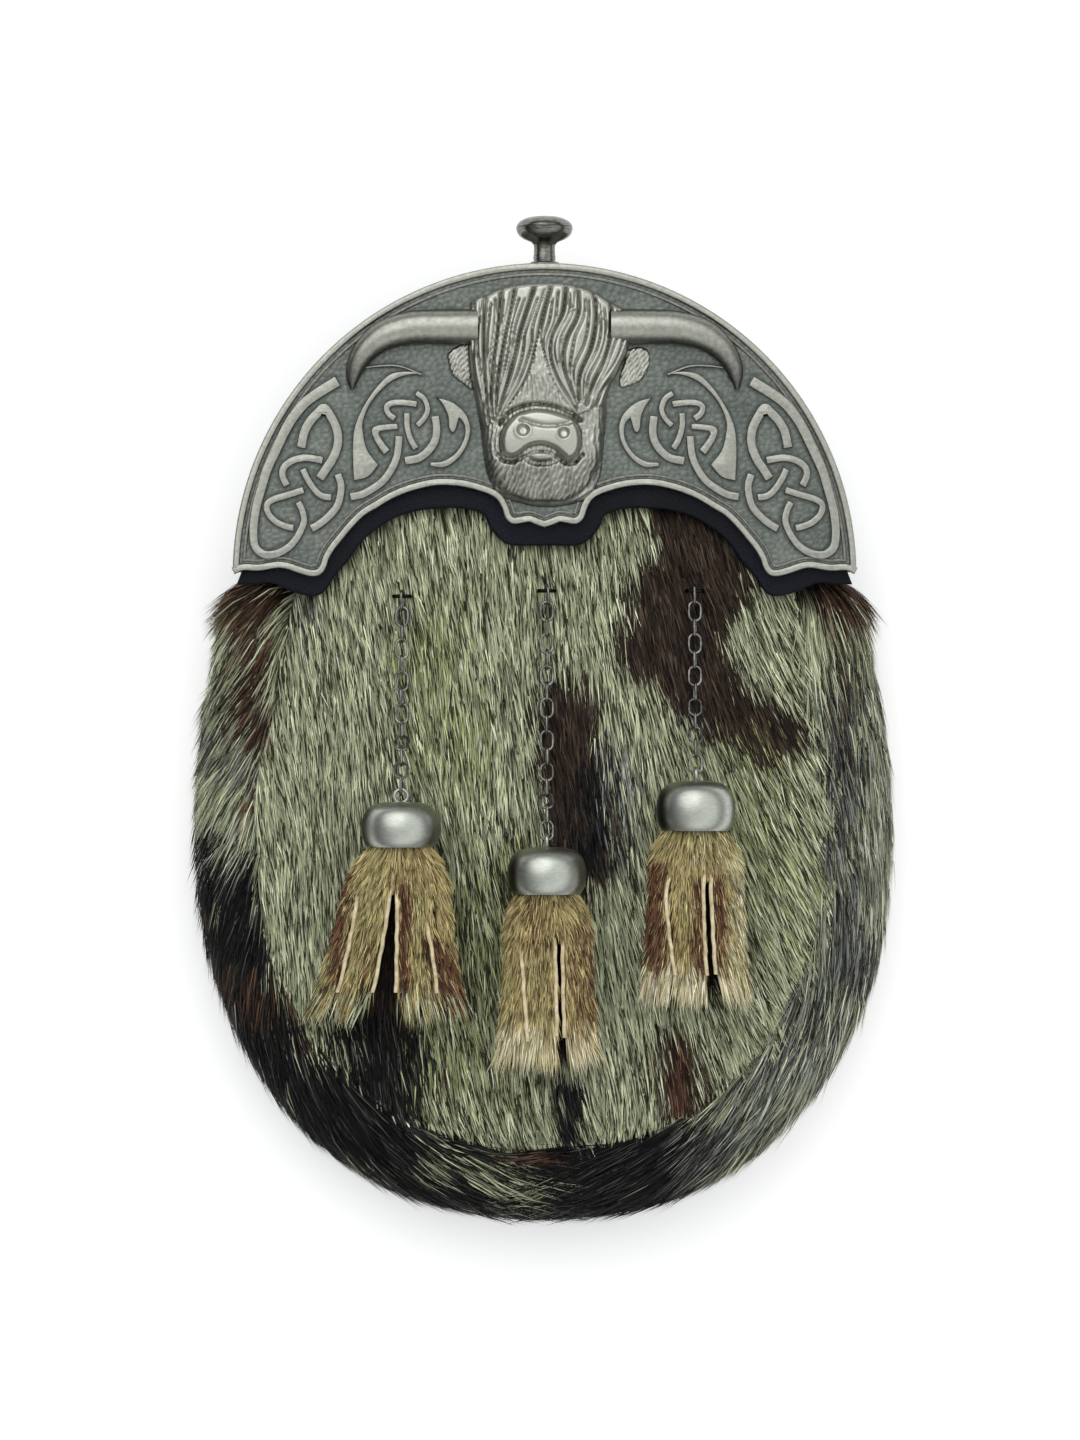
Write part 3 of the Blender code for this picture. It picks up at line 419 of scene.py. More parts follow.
COATS = {
    "sage": (((212, 217, 182), 0.36), ((162, 167, 134), 0.36), ((54, 55, 38), 0.28)),
    "green": (((186, 192, 138), 0.36), ((138, 144, 96), 0.38), ((52, 55, 32), 0.26)),
    "brown": (((84, 70, 58), 0.25), ((56, 44, 36), 0.45), ((30, 25, 22), 0.3)),
    "red": (((112, 82, 64), 0.3), ((78, 54, 42), 0.42), ((42, 31, 26), 0.28)),
    "black": (((16, 16, 17), 0.68), ((38, 38, 38), 0.24), ((84, 84, 80), 0.08)),
    "grey": (((150, 152, 146), 0.28), ((92, 94, 90), 0.4), ((36, 36, 36), 0.32)),
    "silver": (((206, 210, 192), 0.36), ((142, 144, 132), 0.36), ((48, 48, 44), 0.28)),
    "cream": (((236, 228, 194), 0.55), ((204, 192, 152), 0.33), ((140, 122, 88), 0.12)),
    "straw": (((198, 188, 136), 0.4), ((160, 148, 98), 0.36), ((98, 84, 52), 0.24)),
    "gold": (((206, 188, 134), 0.42), ((166, 148, 100), 0.36), ((98, 80, 54), 0.22)),
    "rust": (((132, 96, 70), 0.3), ((98, 68, 50), 0.42), ((58, 40, 32), 0.28)),
    "dark": (((26, 22, 20), 0.72), ((52, 40, 33), 0.28)),
}
COAT_NAMES = tuple(COATS)
# Patches in the front view: ends of a line, radius and softness in pixels, coat, and strength
FRONT_PATCHES = (
    ((700, 500), (705, 560), 48, 10, "brown", 1.0),
    ((688, 585), (668, 640), 52, 12, "brown", 1.0),
    ((668, 650), (712, 700), 36, 12, "brown", 1.0),
    ((720, 705), (766, 732), 34, 12, "brown", 1.0),
    ((565, 715), (580, 860), 34, 12, "brown", 1.0),
    ((596, 770), (594, 850), 16, 12, "black", 0.9),
    ((380, 1000), (398, 1090), 36, 14, "black", 1.0),
    ((350, 1040), (372, 1090), 26, 16, "black", 0.8),
    ((568, 1085), (570, 1140), 14, 8, "black", 1.0),
    ((672, 1070), (694, 1110), 36, 18, "brown", 0.55),
    ((680, 1055), (682, 1105), 12, 7, "red", 1.0),
    ((620, 760), (625, 860), 14, 14, "grey", 0.6),
    ((505, 850), (525, 940), 26, 18, "brown", 0.45),
    ((690, 870), (720, 960), 26, 24, "brown", 0.4),
    ((280, 600), (268, 700), 12, 10, "brown", 0.6),
    ((296, 590), (300, 620), 16, 12, "grey", 0.4),
    ((430, 640), (460, 760), 30, 30, "green", 0.6),
    ((490, 900), (470, 1060), 46, 40, "green", 0.55),
    ((490, 950), (470, 1120), 60, 50, "brown", 0.2),
    ((740, 790), (790, 900), 40, 40, "green", 0.45),
)
BAND_PATCHES = (
    ((215, 596), (262, 600), 22, 12, "red", 0.9),
    ((250, 600), (262, 820), 15, 12, "red", 0.75),
    ((228, 680), (250, 720), 18, 14, "brown", 0.6),
    ((205, 745), (240, 770), 16, 14, "grey", 0.7),
    ((190, 650), (185, 760), 14, 14, "brown", 0.4),
    ((212, 888), (236, 975), 46, 12, "black", 0.99),
    ((190, 880), (196, 960), 10, 8, "red", 0.5),
    ((225, 1000), (265, 1070), 34, 14, "brown", 0.85),
    ((215, 1000), (300, 1120), 10, 10, "grey", 0.35),
    ((262, 1000), (330, 1080), 26, 14, "red", 0.55),
    ((262, 1040), (340, 1125), 40, 16, "black", 0.9),
    ((300, 1090), (345, 1130), 14, 12, "grey", 0.5),
    ((320, 1110), (440, 1165), 44, 16, "black", 0.98),
    ((380, 1110), (440, 1125), 20, 14, "black", 0.8),
    ((440, 1180), (650, 1190), 56, 14, "black", 0.98),
    ((440, 1166), (530, 1190), 16, 12, "sage", 0.55),
    ((498, 1156), (540, 1158), 5, 5, "red", 0.85),
    ((600, 1150), (700, 1150), 34, 14, "black", 0.95),
    ((700, 1160), (760, 1130), 22, 18, "grey", 0.8),
    ((750, 1090), (850, 970), 40, 24, "grey", 0.7),
    ((780, 1110), (870, 1000), 24, 20, "silver", 0.6),
    ((845, 960), (836, 700), 20, 14, "grey", 0.8),
    ((878, 960), (880, 680), 16, 14, "silver", 0.6),
    ((828, 592), (850, 600), 30, 12, "red", 0.9),
    ((842, 640), (846, 760), 18, 16, "brown", 0.5),
    ((200, 800), (235, 860), 24, 20, "silver", 0.3),
)


def waves(x, y, length, seed):
    """Smooth noise, about -1 to 1, with bumps of about length."""
    rule = np.random.default_rng(seed)
    total = 0
    for _ in range(6):
        angle, phase = rule.uniform(0, 2 * math.pi, 2)
        scale = 2 * math.pi / (length * rule.uniform(0.7, 1.5))
        total = total + np.sin((x * math.cos(angle) + y * math.sin(angle)) * scale + phase)
    return total / 2.6


def coat_of(view_x, view_y, base, patches, ragged=7):
    """Index of the coat of each hair that is rooted at those places of the front view."""
    coat = np.full(len(view_x), COAT_NAMES.index(base))
    shift_x = ragged * waves(view_x, view_y, 60, 11)
    shift_y = ragged * waves(view_x, view_y, 60, 12)
    here = np.column_stack([view_x + shift_x, view_y + shift_y])
    for start, end, radius, softness, name, strength in patches:
        start, end = np.array(start, float), np.array(end, float)
        span = end - start
        share = np.clip(((here - start) @ span) / max(span @ span, 1e-9), 0, 1)
        away = np.linalg.norm(here - start - share[:, None] * span, axis=1)
        weight = strength * np.clip((radius + softness - away) / (2 * softness), 0, 1)
        coat[RANDOM.random(len(here)) < weight] = COAT_NAMES.index(name)
    return coat


def coat_colours(coat):
    """A linear colour for each hair, drawn from its coat."""
    found = np.zeros((len(coat), 3))
    draw = RANDOM.random(len(coat))
    for index, name in enumerate(COAT_NAMES):
        start = 0
        for colour, share in COATS[name]:
            chosen = (coat == index) & (draw >= start) & (draw < start + share + 1e-9)
            found[chosen] = linear(*colour)
            start += share
    return found * RANDOM.uniform(0.78, 1.22, (len(coat), 1))


# Hair

HAIR_STEPS = (0.48, 0.52)  # lengths of a hair's two stretches, as shares
HAIR_WIDTHS = (0.8, 1.0)  # at the start of each stretch; the tip is a point
HAIR_PAINTED_SHADE = (0.1, 0.84, 1.12)  # painted shade and light along a hair, at the root, between the stretches and at the tip: dark at the root, lighter at the tip
CLUMP_PULL = (0, 0.25, 0.55)
HAIR_CORNERS = (0, 1, 3, 2, 2, 3, 4)  # a four sided face and the tip's three sided face


def clumps_of(root, size):
    """For each root, its offset from the middle of its clump and the clump's index."""
    middles = root[:: max(size, 1)]
    tree = KDTree(len(middles))
    for i, middle in enumerate(middles):
        tree.insert(middle, i)
    tree.balance()
    index = np.array([tree.find(place)[1] for place in root])
    return root - middles[index], index


def hair_mesh(name, root, normal, flow, length, width, rises, colour, clump=9):
    """Tapered flat hairs on roots, one row of each array for each hair. Rises are in degrees."""
    count = len(root)
    offset, index = clumps_of(root, clump)
    shared = np.random.default_rng(count).normal(0, 1, (index.max() + 1, 3))[index]
    across = np.cross(normal, flow)
    turn = np.radians(4 * shared[:, 0] + RANDOM.normal(0, 3, count))[:, None]
    flow = flow * np.cos(turn) + across * np.sin(turn)
    across = np.cross(normal, flow)
    lift = np.radians(3 * shared[:, 1] + RANDOM.normal(0, 3, count))[:, None]
    offset = offset - flow * np.sum(offset * flow, axis=1, keepdims=True)
    roll = RANDOM.normal(0, 0.45, count)[:, None]
    side = (across * np.cos(roll) + normal * np.sin(roll)) * width[:, None] / 2
    place = root
    rings = [root]
    for step, rise in zip(HAIR_STEPS, rises):
        angle = math.radians(rise) + lift
        place = place + (flow * np.cos(angle) + normal * np.sin(angle)) * (length * step)[:, None]
        rings.append(place)
    rings = [ring - offset * pull for ring, pull in zip(rings, CLUMP_PULL)]
    colour = colour * (1 + 0.2 * shared[:, 2:3])
    points = np.empty((count, 5, 3))
    # Corner colours carry painted shade at the roots and painted light at the tips
    painted_shades = np.empty((count, 5, 3))
    for i, share in enumerate(HAIR_WIDTHS):
        points[:, 2 * i] = rings[i] - side * share
        points[:, 2 * i + 1] = rings[i] + side * share
        painted_shades[:, 2 * i] = painted_shades[:, 2 * i + 1] = colour * HAIR_PAINTED_SHADE[i]
    points[:, 4] = rings[2]
    painted_shades[:, 4] = colour * HAIR_PAINTED_SHADE[2]
    loops = (np.arange(count)[:, None] * 5 + np.array(HAIR_CORNERS)).ravel()
    mesh = bpy.data.meshes.new(name)
    mesh.vertices.add(count * 5)
    mesh.vertices.foreach_set("co", points.ravel().astype(np.float32))
    mesh.loops.add(len(loops))
    mesh.loops.foreach_set("vertex_index", loops.astype(np.int32))
    mesh.polygons.add(count * 2)
    starts = np.arange(count)[:, None] * len(HAIR_CORNERS) + np.array((0, 4))
    mesh.polygons.foreach_set("loop_start", starts.ravel().astype(np.int32))
    mesh.update(calc_edges=True)
    mesh.shade_smooth()
    write_colours(mesh, painted_shades.reshape(-1, 3))
    return link_object(name, mesh, "fur")


def write_colours(mesh, colours):
    """Writes the attribute that the fur's colour follows, one colour for each vertex."""
    layer = mesh.color_attributes.new("hair", "FLOAT_COLOR", "POINT")
    full = np.ones((len(colours), 4), np.float32)
    full[:, :3] = np.clip(colours, 0, 1)
    layer.data.foreach_set("color", full.ravel())


def spread(mesh, count):
    """Even random places on a mesh, with their smooth normals."""
    mesh.calc_loop_triangles()
    corners = np.empty(len(mesh.loop_triangles) * 3, np.int32)
    mesh.loop_triangles.foreach_get("vertices", corners)
    corners = corners.reshape(-1, 3)
    points = vertex_array(mesh)
    normals = np.empty(len(mesh.vertices) * 3, np.float32)
    mesh.vertex_normals.foreach_get("vector", normals)
    normals = normals.reshape(-1, 3)
    one, two, three = (points[corners[:, i]] for i in range(3))
    area = np.linalg.norm(np.cross(two - one, three - one), axis=1)
    pick = RANDOM.choice(len(area), count, p=area / area.sum())
    u, v = RANDOM.random((2, count))
    over = u + v > 1
    u[over], v[over] = 1 - u[over], 1 - v[over]
    weights = np.column_stack([1 - u - v, u, v])
    place = np.einsum("ni,nij->nj", weights, points[corners[pick]])
    normal = np.einsum("ni,nij->nj", weights, normals[corners[pick]])
    return place, unit(normal)


def unit(rows):
    return rows / np.maximum(np.linalg.norm(rows, axis=1, keepdims=True), 1e-9)


def skin_of(name, node, wanted, lift, rounds=6, reshape=None):
    """The faces of a CAD node that are wanted, smoothed and moved outwards by lift."""
    bm = bmesh.new()
    bm.from_mesh(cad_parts[node].data)
    bmesh.ops.remove_doubles(bm, verts=bm.verts, dist=0.01 * MM)
    bm.normal_update()
    lost = [face for face in bm.faces if not wanted(face)]
    bmesh.ops.delete(bm, geom=lost, context="FACES")
    bmesh.ops.subdivide_edges(bm, edges=bm.edges, cuts=1, use_grid_fill=True)
    inner = [vert for vert in bm.verts if not vert.is_boundary]
    for _ in range(rounds):
        bmesh.ops.smooth_vert(
            bm, verts=inner, factor=0.5, use_axis_x=True, use_axis_y=True, use_axis_z=True
        )
    bm.normal_update()
    shifts = [vert.normal * lift for vert in bm.verts]
    for vert, shift in zip(bm.verts, shifts):
        vert.co += shift
    if reshape:
        reshape(bm.verts)
    return object_of(bm, name, "fur", 180)


def outward(x, y):
    """Flat unit vectors that point out of the pouch's outline."""
    half_width = FUR_HIGH.x
    depth = WIDEST_Y - FUR_LOW.y
    down = np.minimum(y - WIDEST_Y, 0) / depth
    aside = x / half_width
    steep = np.column_stack([
        np.sign(aside) * np.abs(aside) ** 1.2 / half_width,
        -np.abs(down) ** 1.2 / depth,
        np.zeros(len(x)),
    ])
    return unit(steep)


def flow_on(normal, wanted):
    """Wanted directions laid onto the surface."""
    return unit(wanted - normal * np.sum(wanted * normal, axis=1, keepdims=True))


FRONT_HAIRS = 90000  # in two pieces, some of them under the cantle and so left out
FRONT_LENGTHS = (6, 11)  # mm, least and most, as the widths are
FRONT_WIDTHS = (0.26, 0.46)
FRONT_RISES = (17, 3)  # degrees over the skin, of each stretch of a hair
BAND_HAIRS = 56000  # on each side
BAND_LENGTHS = (10, 17)
BAND_WIDTHS = (0.2, 0.38)
BAND_RISES = (12, -6)
SHADED_UNDERCOAT = 0.22  # the skin's brightness as a share of its hair's: the undercoat's own darker colour with painted shade between the hairs
FRONT_FLOW = ((270, 8), (420, 9), (560, 6), (680, 14), (760, 24), (830, 24))  # view x, degrees to the right
COAT_REACH = 0.55  # share of a hair's length at which its coat is read
SHORTENED = 0.42  # length left of a front hair that would cross the seam


def below(places, node):
    """Which places have a node over or under them."""
    cover = BVHTree.FromPolygons(*polygons_of(node))
    return np.array([cover.ray_cast((x, y, 0), (0, 0, 1))[0] is not None for x, y, _ in places])


def reach_seam(verts):
    """Widens the front's skin, so that its hair meets the band's."""
    half_width = max(abs(vert.co.x) for vert in verts)
    depth = WIDEST_Y - min(vert.co.y for vert in verts)
    for vert in verts:
        down = max(WIDEST_Y - vert.co.y, 0)
        vert.co.x *= 1 + SEAM_REACH / half_width * abs(vert.co.x / half_width) ** 5
        vert.co.y -= 0.4 * SEAM_REACH * (down / depth) ** 5


def front_fur():
    """Short fur on the front, which runs down and leans to the right."""
    skin = skin_of("front_skin", "front_fur", lambda face: face.normal.z > 0.5, -2 * MM, reshape=reach_seam)
    root, normal = spread(skin.data, FRONT_HAIRS)
    shown = ~below(root - (0, 3 * MM, 0), "cantle_liner")
    root, normal = root[shown], normal[shown]
    view_x, view_y = to_view(root[:, 0], root[:, 1])
    lean = np.interp(view_x, *zip(*FRONT_FLOW)) + 3 * waves(root[:, 0], root[:, 1], 26 * MM, 3)
    lean = np.radians(lean + 14 * np.clip((view_y - 1060) / 60, 0, 1) * np.sign(600 - view_x))
    wanted = np.column_stack([np.sin(lean), -np.cos(lean), np.zeros(len(lean))])
    flow = flow_on(normal, wanted)
    length = RANDOM.uniform(*FRONT_LENGTHS, len(root)) * MM
    width = RANDOM.uniform(*FRONT_WIDTHS, len(root)) * MM
    beyond = ~below(root + flow * length[:, None], "front_fur")
    length[beyond] *= SHORTENED
    colour = coat_colours(coat_along(root, flow, length, "sage", FRONT_PATCHES))
    for name, side in (("front_hair_left", root[:, 0] < 0), ("front_hair_right", root[:, 0] >= 0)):
        hair = hair_mesh(
            name, root[side], normal[side], flow[side], length[side], width[side], FRONT_RISES,
            colour[side], 7
        )
        keep(hair, "sage_fur", "front_fur")
    shade_skin(skin, "sage", FRONT_PATCHES)
    keep(skin, "sage_fur", "front_fur")


def coat_along(root, flow, length, base, patches, ragged=7):
    """Index of the coat of each hair, read part way along it."""
    shown = root + flow * (COAT_REACH * length)[:, None]
    return coat_of(*to_view(shown[:, 0], shown[:, 1]), base, patches, ragged)


def shade_skin(skin, base, patches):
    """The undercoat between the hairs, darkened: its own colour with painted shade."""
    points = vertex_array(skin.data)
    coat = coat_of(*to_view(points[:, 0], points[:, 1]), base, patches)
    write_colours(skin.data, coat_colours(coat) * SHADED_UNDERCOAT)


# Lean of the band's hairs away from the pouch's outline, in degrees, by angle round the pouch from
# the left shoulder (0) over the bottom (0.5) to the right shoulder (1)
BAND_LEAN = (
    (0, 34), (0.12, 34), (0.25, 22), (0.4, 12), (0.49, 12),
    (0.51, 14), (0.62, 16), (0.75, 7), (0.9, 5), (1, 6),
)
BAND_LIFT = -1.0 * MM
SEAM_REACH = 1.8 * MM
SEAM_OVERLAP = 4.6 * MM
SEAM_START = 29 * MM  # height from which the seam is covered, fully after SEAM_RAMP
SEAM_RAMP = 4 * MM
SHOULDER_RISE = 6.5 * MM
SHOULDER_START = 16 * MM  # along Y, as the next ones are
SHOULDER_RAMP = 14 * MM
LOWER_DROP = 3.2 * MM
LOWER_START = -50 * MM
LOWER_RAMP = 70 * MM
# Half width of the band's skin towards its top: height along Y and half width, in mm
SHOULDER = ((4, 93), (16, 87.5), (24, 85), (30, 82), (36, 78.5), (42, 76))


def reach_out(verts):
    """Moves the band's skin in over the front's seam, and up under the liner at the shoulders."""
    points = np.array([vert.co for vert in verts])
    inwards = -outward(points[:, 0], points[:, 1])
    seam = np.clip((points[:, 2] - SEAM_START) / SEAM_RAMP, 0, 1)[:, None]
    points += inwards * seam * SEAM_OVERLAP + seam * (0, 0, 2 * MM)
    points[:, 1] -= LOWER_DROP * np.clip((LOWER_START - points[:, 1]) / LOWER_RAMP, 0, 1)
    points[:, 1] += SHOULDER_RISE * np.clip((points[:, 1] - SHOULDER_START) / SHOULDER_RAMP, 0, 1)
    widest = np.interp(points[:, 1] / MM, *zip(*SHOULDER)) * MM
    points[:, 0] = np.clip(points[:, 0], -widest, widest)
    for vert, point in zip(verts, points):
        vert.co = point


def band_fur():
    """Longer fur on the band, which runs down both sides and meets at the bottom."""
    gusset = BVHTree.FromPolygons(*polygons_of("side_gusset"))

    def is_outer(face):
        middle = face.calc_center_median()
        return gusset.ray_cast(middle, face.normal, 0.03)[0] is None

    skin = skin_of("band_skin", "band_fur", is_outer, BAND_LIFT, 8, reach_out)
    root, normal = spread(skin.data, 2 * BAND_HAIRS)
    out = outward(root[:, 0], root[:, 1])
    along = np.column_stack([-out[:, 1], out[:, 0], np.zeros(len(out))])
    along *= np.where(along[:, 1] > 0, -1, 1)[:, None]
    around = np.arctan2(root[:, 1] - WIDEST_Y, root[:, 0])
    share = np.interp(-np.where(around > 1.3, around - 2 * math.pi, around), (-0.7, math.pi + 0.7), (1, 0))
    facing = np.sum(normal * out, axis=1)
    beside = np.clip(facing / 0.5, 0.05, 1) * np.clip(1.6 - facing, 0.6, 1)
    lean = np.interp(share, *zip(*BAND_LEAN)) * beside
    lean = np.radians(lean + 5 * waves(root[:, 0], root[:, 1] + root[:, 2], 18 * MM, 5))[:, None]
    slope = unit(np.cross(along, normal))
    slope *= np.where(np.sum(slope * out, axis=1) + 0.3 * -slope[:, 2] < 0, -1, 1)[:, None]
    flow = flow_on(normal, along * np.cos(lean) + slope * np.sin(lean) + 0.03 * out)
    length = RANDOM.uniform(*BAND_LENGTHS, len(root)) * MM
    width = RANDOM.uniform(*BAND_WIDTHS, len(root)) * MM
    colour = coat_colours(coat_along(root, flow, length, "sage", BAND_PATCHES))
    for name, side in (("band_hair_left", root[:, 0] < 0), ("band_hair_right", root[:, 0] >= 0)):
        hair = hair_mesh(
            name, root[side], normal[side], flow[side], length[side], width[side], BAND_RISES,
            colour[side], 9
        )
        keep(hair, "dark_fur", "band_fur")
    shade_skin(skin, "sage", BAND_PATCHES)
    keep(skin, "dark_fur", "band_fur")


def polygons_of(node):
    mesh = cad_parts[node].data
    return [vert.co.copy() for vert in mesh.vertices], [tuple(face.vertices) for face in mesh.polygons]


# Cantle: lines and outlines in the front view, for its left half

RIM_LINE = (
    (233, 571), (243, 567), (258, 567.5), (268, 566), (278, 564.5), (287, 565.5), (296, 568.5),
    (305, 571.5), (313, 573), (319, 571.5), (323, 566), (326, 557), (332, 547), (340, 537),
    (350, 525), (362, 513), (375, 505), (390, 496), (405, 489.5), (420, 485), (436, 482),
    (452, 482), (467, 484), (480, 487.5), (492, 492), (500, 498), (505, 507), (508, 516),
    (513, 520.5), (520, 520), (529, 518.5), (536, 521), (544.5, 524),
)
LINER_LINE = (
    (236, 584), (255, 584), (272, 583), (293, 592), (314, 596), (325, 590), (335, 575), (348, 560),
    (360, 543), (377, 528), (398, 516), (420, 510), (440, 508), (462, 508), (483, 514), (489, 526),
    (500, 539), (512, 545), (544.5, 545),
)
# Strands of the knots: widths along the strand, then its middle line
STRANDS = (
    ((11, 10.5, 9.5, 8.5, 7.5, 7), ((338, 381), (320, 392), (305, 403), (294, 416), (285.5, 430), (276, 450),
     (267, 470), (261, 490), (256, 509), (253.5, 530), (255, 546), (262, 553.5), (270, 555), (281, 552),
     (291, 545), (299, 534), (304, 521), (302, 510), (298, 502))),
    ((9.5,), ((301, 448), (304.5, 432), (310.5, 421), (318, 413), (324.5, 408), (331, 417), (336, 427),
     (338, 437), (337, 448), (332, 460), (326, 469), (319.5, 479))),
    ((7.5,), ((323, 460.5), (312, 458.5), (303, 458), (292, 461), (284, 467.5), (282.5, 476), (287, 486))),
    ((7,), ((302.6, 469), (307.4, 479), (314.7, 490), (322, 496), (331.7, 497.6))),
    ((8,), ((337.7, 474), (341, 485), (340, 497), (336, 508), (327, 518), (318, 525), (311, 529))),
    ((7,), ((304, 490), (288, 495), (273.5, 499.5), (267, 505), (268.6, 514), (277, 522.5), (288, 527),
     (294, 528))),
    ((8,), ((350, 497), (362, 494.5), (373, 488.5), (383, 481), (391, 470), (396.4, 458), (398.3, 446.5),
     (399, 436))),
    ((6.5,), ((417, 404.5), (411, 403.5), (400, 402.5), (391, 403.5), (386.5, 407.5), (388.5, 414),
     (395, 419))),
    ((6, 8), ((398, 426.5), (385, 427.5), (375, 430), (377, 438), (382, 446), (387, 452.5))),
    ((6,), ((416, 393), (424, 399), (427.6, 409.5), (424, 418.5), (417, 426))),
    ((6.5,), ((407, 413), (407, 426), (410.4, 439), (416, 449))),
    ((8.5,), ((435, 416), (436.5, 429), (435, 440), (429, 450), (419, 458), (404.6, 461))),
    ((2.4,), ((363, 368), (380, 366), (400, 366.5), (422, 375))),
)
# Figures with corners: smooth stretches between the corners
CRESCENT = (
    ((421.7, 374), (404, 376), (387.6, 384.4), (371.3, 402.3), (363.2, 421.8), (364, 436.4), (368, 451),
     (378.7, 465)),
    ((378.7, 465), (368, 477), (353.5, 481)),
    ((353.5, 481), (352.4, 460), (352.6, 441), (355, 425), (363, 407), (375, 389), (389, 375), (404, 371.5),
     (421.7, 373)),
)
LEAF = (
    ((436.4, 397.4), (452.6, 402.3), (465.6, 413.7), (470.5, 428.3), (467.3, 444.5), (457.5, 459.2),
     (444.5, 467.3), (429.9, 466.5)),
    ((429.9, 466.5), (429.9, 462.4)),
    ((429.9, 462.4), (442.9, 461.2), (455.9, 452.7), (464, 438), (464, 425), (459, 418)),
    ((459, 418), (455.5, 429.9), (451.8, 432.6), (448.6, 427), (447.8, 416.9), (442.9, 405.5),
     (436.4, 397.4)),
)
HORN_LINE = ((478, 327), (440, 327), (412, 328), (386, 335), (367, 349), (356.5, 365), (353, 378), (352, 390))
HORN_RADII = (4.6, 4.5, 4.3, 3.9, 3.2, 2.5, 1.7, 0.4)  # mm, at those points
HORN_LIFT = 1.4 * MM
STRAND_TOP = PLATE_TOP + 1.2 * MM
RIM_WIDTH = 1.8 * MM
SINK = 0.3 * MM  # of what sits on the plate
PLATE_FACE = PLATE_TOP - 0.15 * MM
ARC_INNER = ARC_RADIUS - RIM_WIDTH
WALL_ENDS = (0.8, 179.2)
STEM_HOLE = 3.05 * MM
PEBBLE = (1.75 * MM, 1.35 * MM)  # spacing along X and Y
PEBBLE_HEIGHT = 0.2 * MM
GROUND_STEP = 0.5 * MM
GROOVE_WIDTH = 1.1 * MM  # beside the raised figures


def both_halves(points, per_span=3):
    """A line of the left half and its mirror image, from the left end to the right."""
    half = view_line(points, per_span)
    return np.vstack([half, mirror(half[:-1])[::-1]])


def stretches(parts, per_span=4):
    return np.vstack([view_line(part, per_span)[:-1] for part in parts])


def inside(points, outline):
    """Which of the points lie in the closed outline."""
    found = np.zeros(len(points), bool)
    ends = np.roll(outline, -1, axis=0)
    for (x1, y1), (x2, y2) in zip(outline, ends):
        if y1 == y2:
            continue
        crosses = (points[:, 1] > y1) != (points[:, 1] > y2)
        at = x1 + (points[:, 1] - y1) * (x2 - x1) / (y2 - y1)
        found ^= crosses & (points[:, 0] < at)
    return found


def nearest(points, targets, count=1):
    """Distances from each point to its nearest targets, one column for each."""
    tree = KDTree(len(targets))
    for i, target in enumerate(targets):
        tree.insert((*target, 0)[:3], i)
    tree.balance()
    return np.array([[hit[2] for hit in tree.find_n((*point, 0)[:3], count)] for point in points])


def dense(outline, step=0.3 * MM):
    """Points along a closed outline, about a step apart."""
    rows = []
    for one, two in zip(outline, np.roll(outline, -1, axis=0)):
        steps = max(int(np.linalg.norm(two - one) / step), 1)
        rows.append(one + (two - one) * (np.arange(steps) / steps)[:, None])
    return np.vstack(rows)


def figures():
    """Outlines of the left half's figures."""
    outlines = []
    for widths, points in STRANDS:
        line = view_line(points)
        outlines.append(ribbon(line, np.array(widths if len(widths) > 1 else widths * 2) * UNIT))
    return outlines + [stretches(CRESCENT), stretches(LEAF)]


def plate_outline():
    lower = both_halves(RIM_LINE)
    upper = arc(ARC_RADIUS - RIM_WIDTH / 2, *WALL_ENDS, 96)
    return np.vstack([lower[1:-1], upper])


def blurred(grid, rounds):
    for _ in range(rounds):
        edge = np.pad(grid, 1, mode="edge")
        beside = edge[:-2, 1:-1] + edge[2:, 1:-1] + edge[1:-1, :-2] + edge[1:-1, 2:]
        grid = (2 * edge[1:-1, 1:-1] + beside) / 6
    return grid


def height_mesh(name, grid_x, grid_y, height, wanted, tone, look):
    """A relief over a flat grid, from the grid's cells whose corners are all wanted."""
    rows, columns = height.shape
    number = np.arange(rows * columns).reshape(rows, columns)
    corners = np.stack([number[:-1, :-1], number[:-1, 1:], number[1:, 1:], number[1:, :-1]], axis=-1)
    fine = wanted[:-1, :-1] & wanted[:-1, 1:] & wanted[1:, 1:] & wanted[1:, :-1]
    faces = corners[fine]
    used, index = np.unique(faces, return_inverse=True)
    points = np.column_stack([grid_x.ravel(), grid_y.ravel(), height.ravel()])[used]
    mesh = mesh_from(name, points, index.reshape(faces.shape).tolist())
    thing = link_object(name, mesh, look, 60)
    set_tone(thing, tone.ravel()[used])
    return thing


def grid_over(outline, steps):
    """A flat grid over an outline's box: X and Y as tables, and its places as rows."""
    low, high = outline.min(axis=0), outline.max(axis=0)
    columns, rows = (np.arange(low[i], high[i], steps[i]) for i in (0, 1))
    grid_x, grid_y = np.meshgrid(columns, rows)
    return grid_x, grid_y, np.column_stack([grid_x.ravel(), grid_y.ravel()])


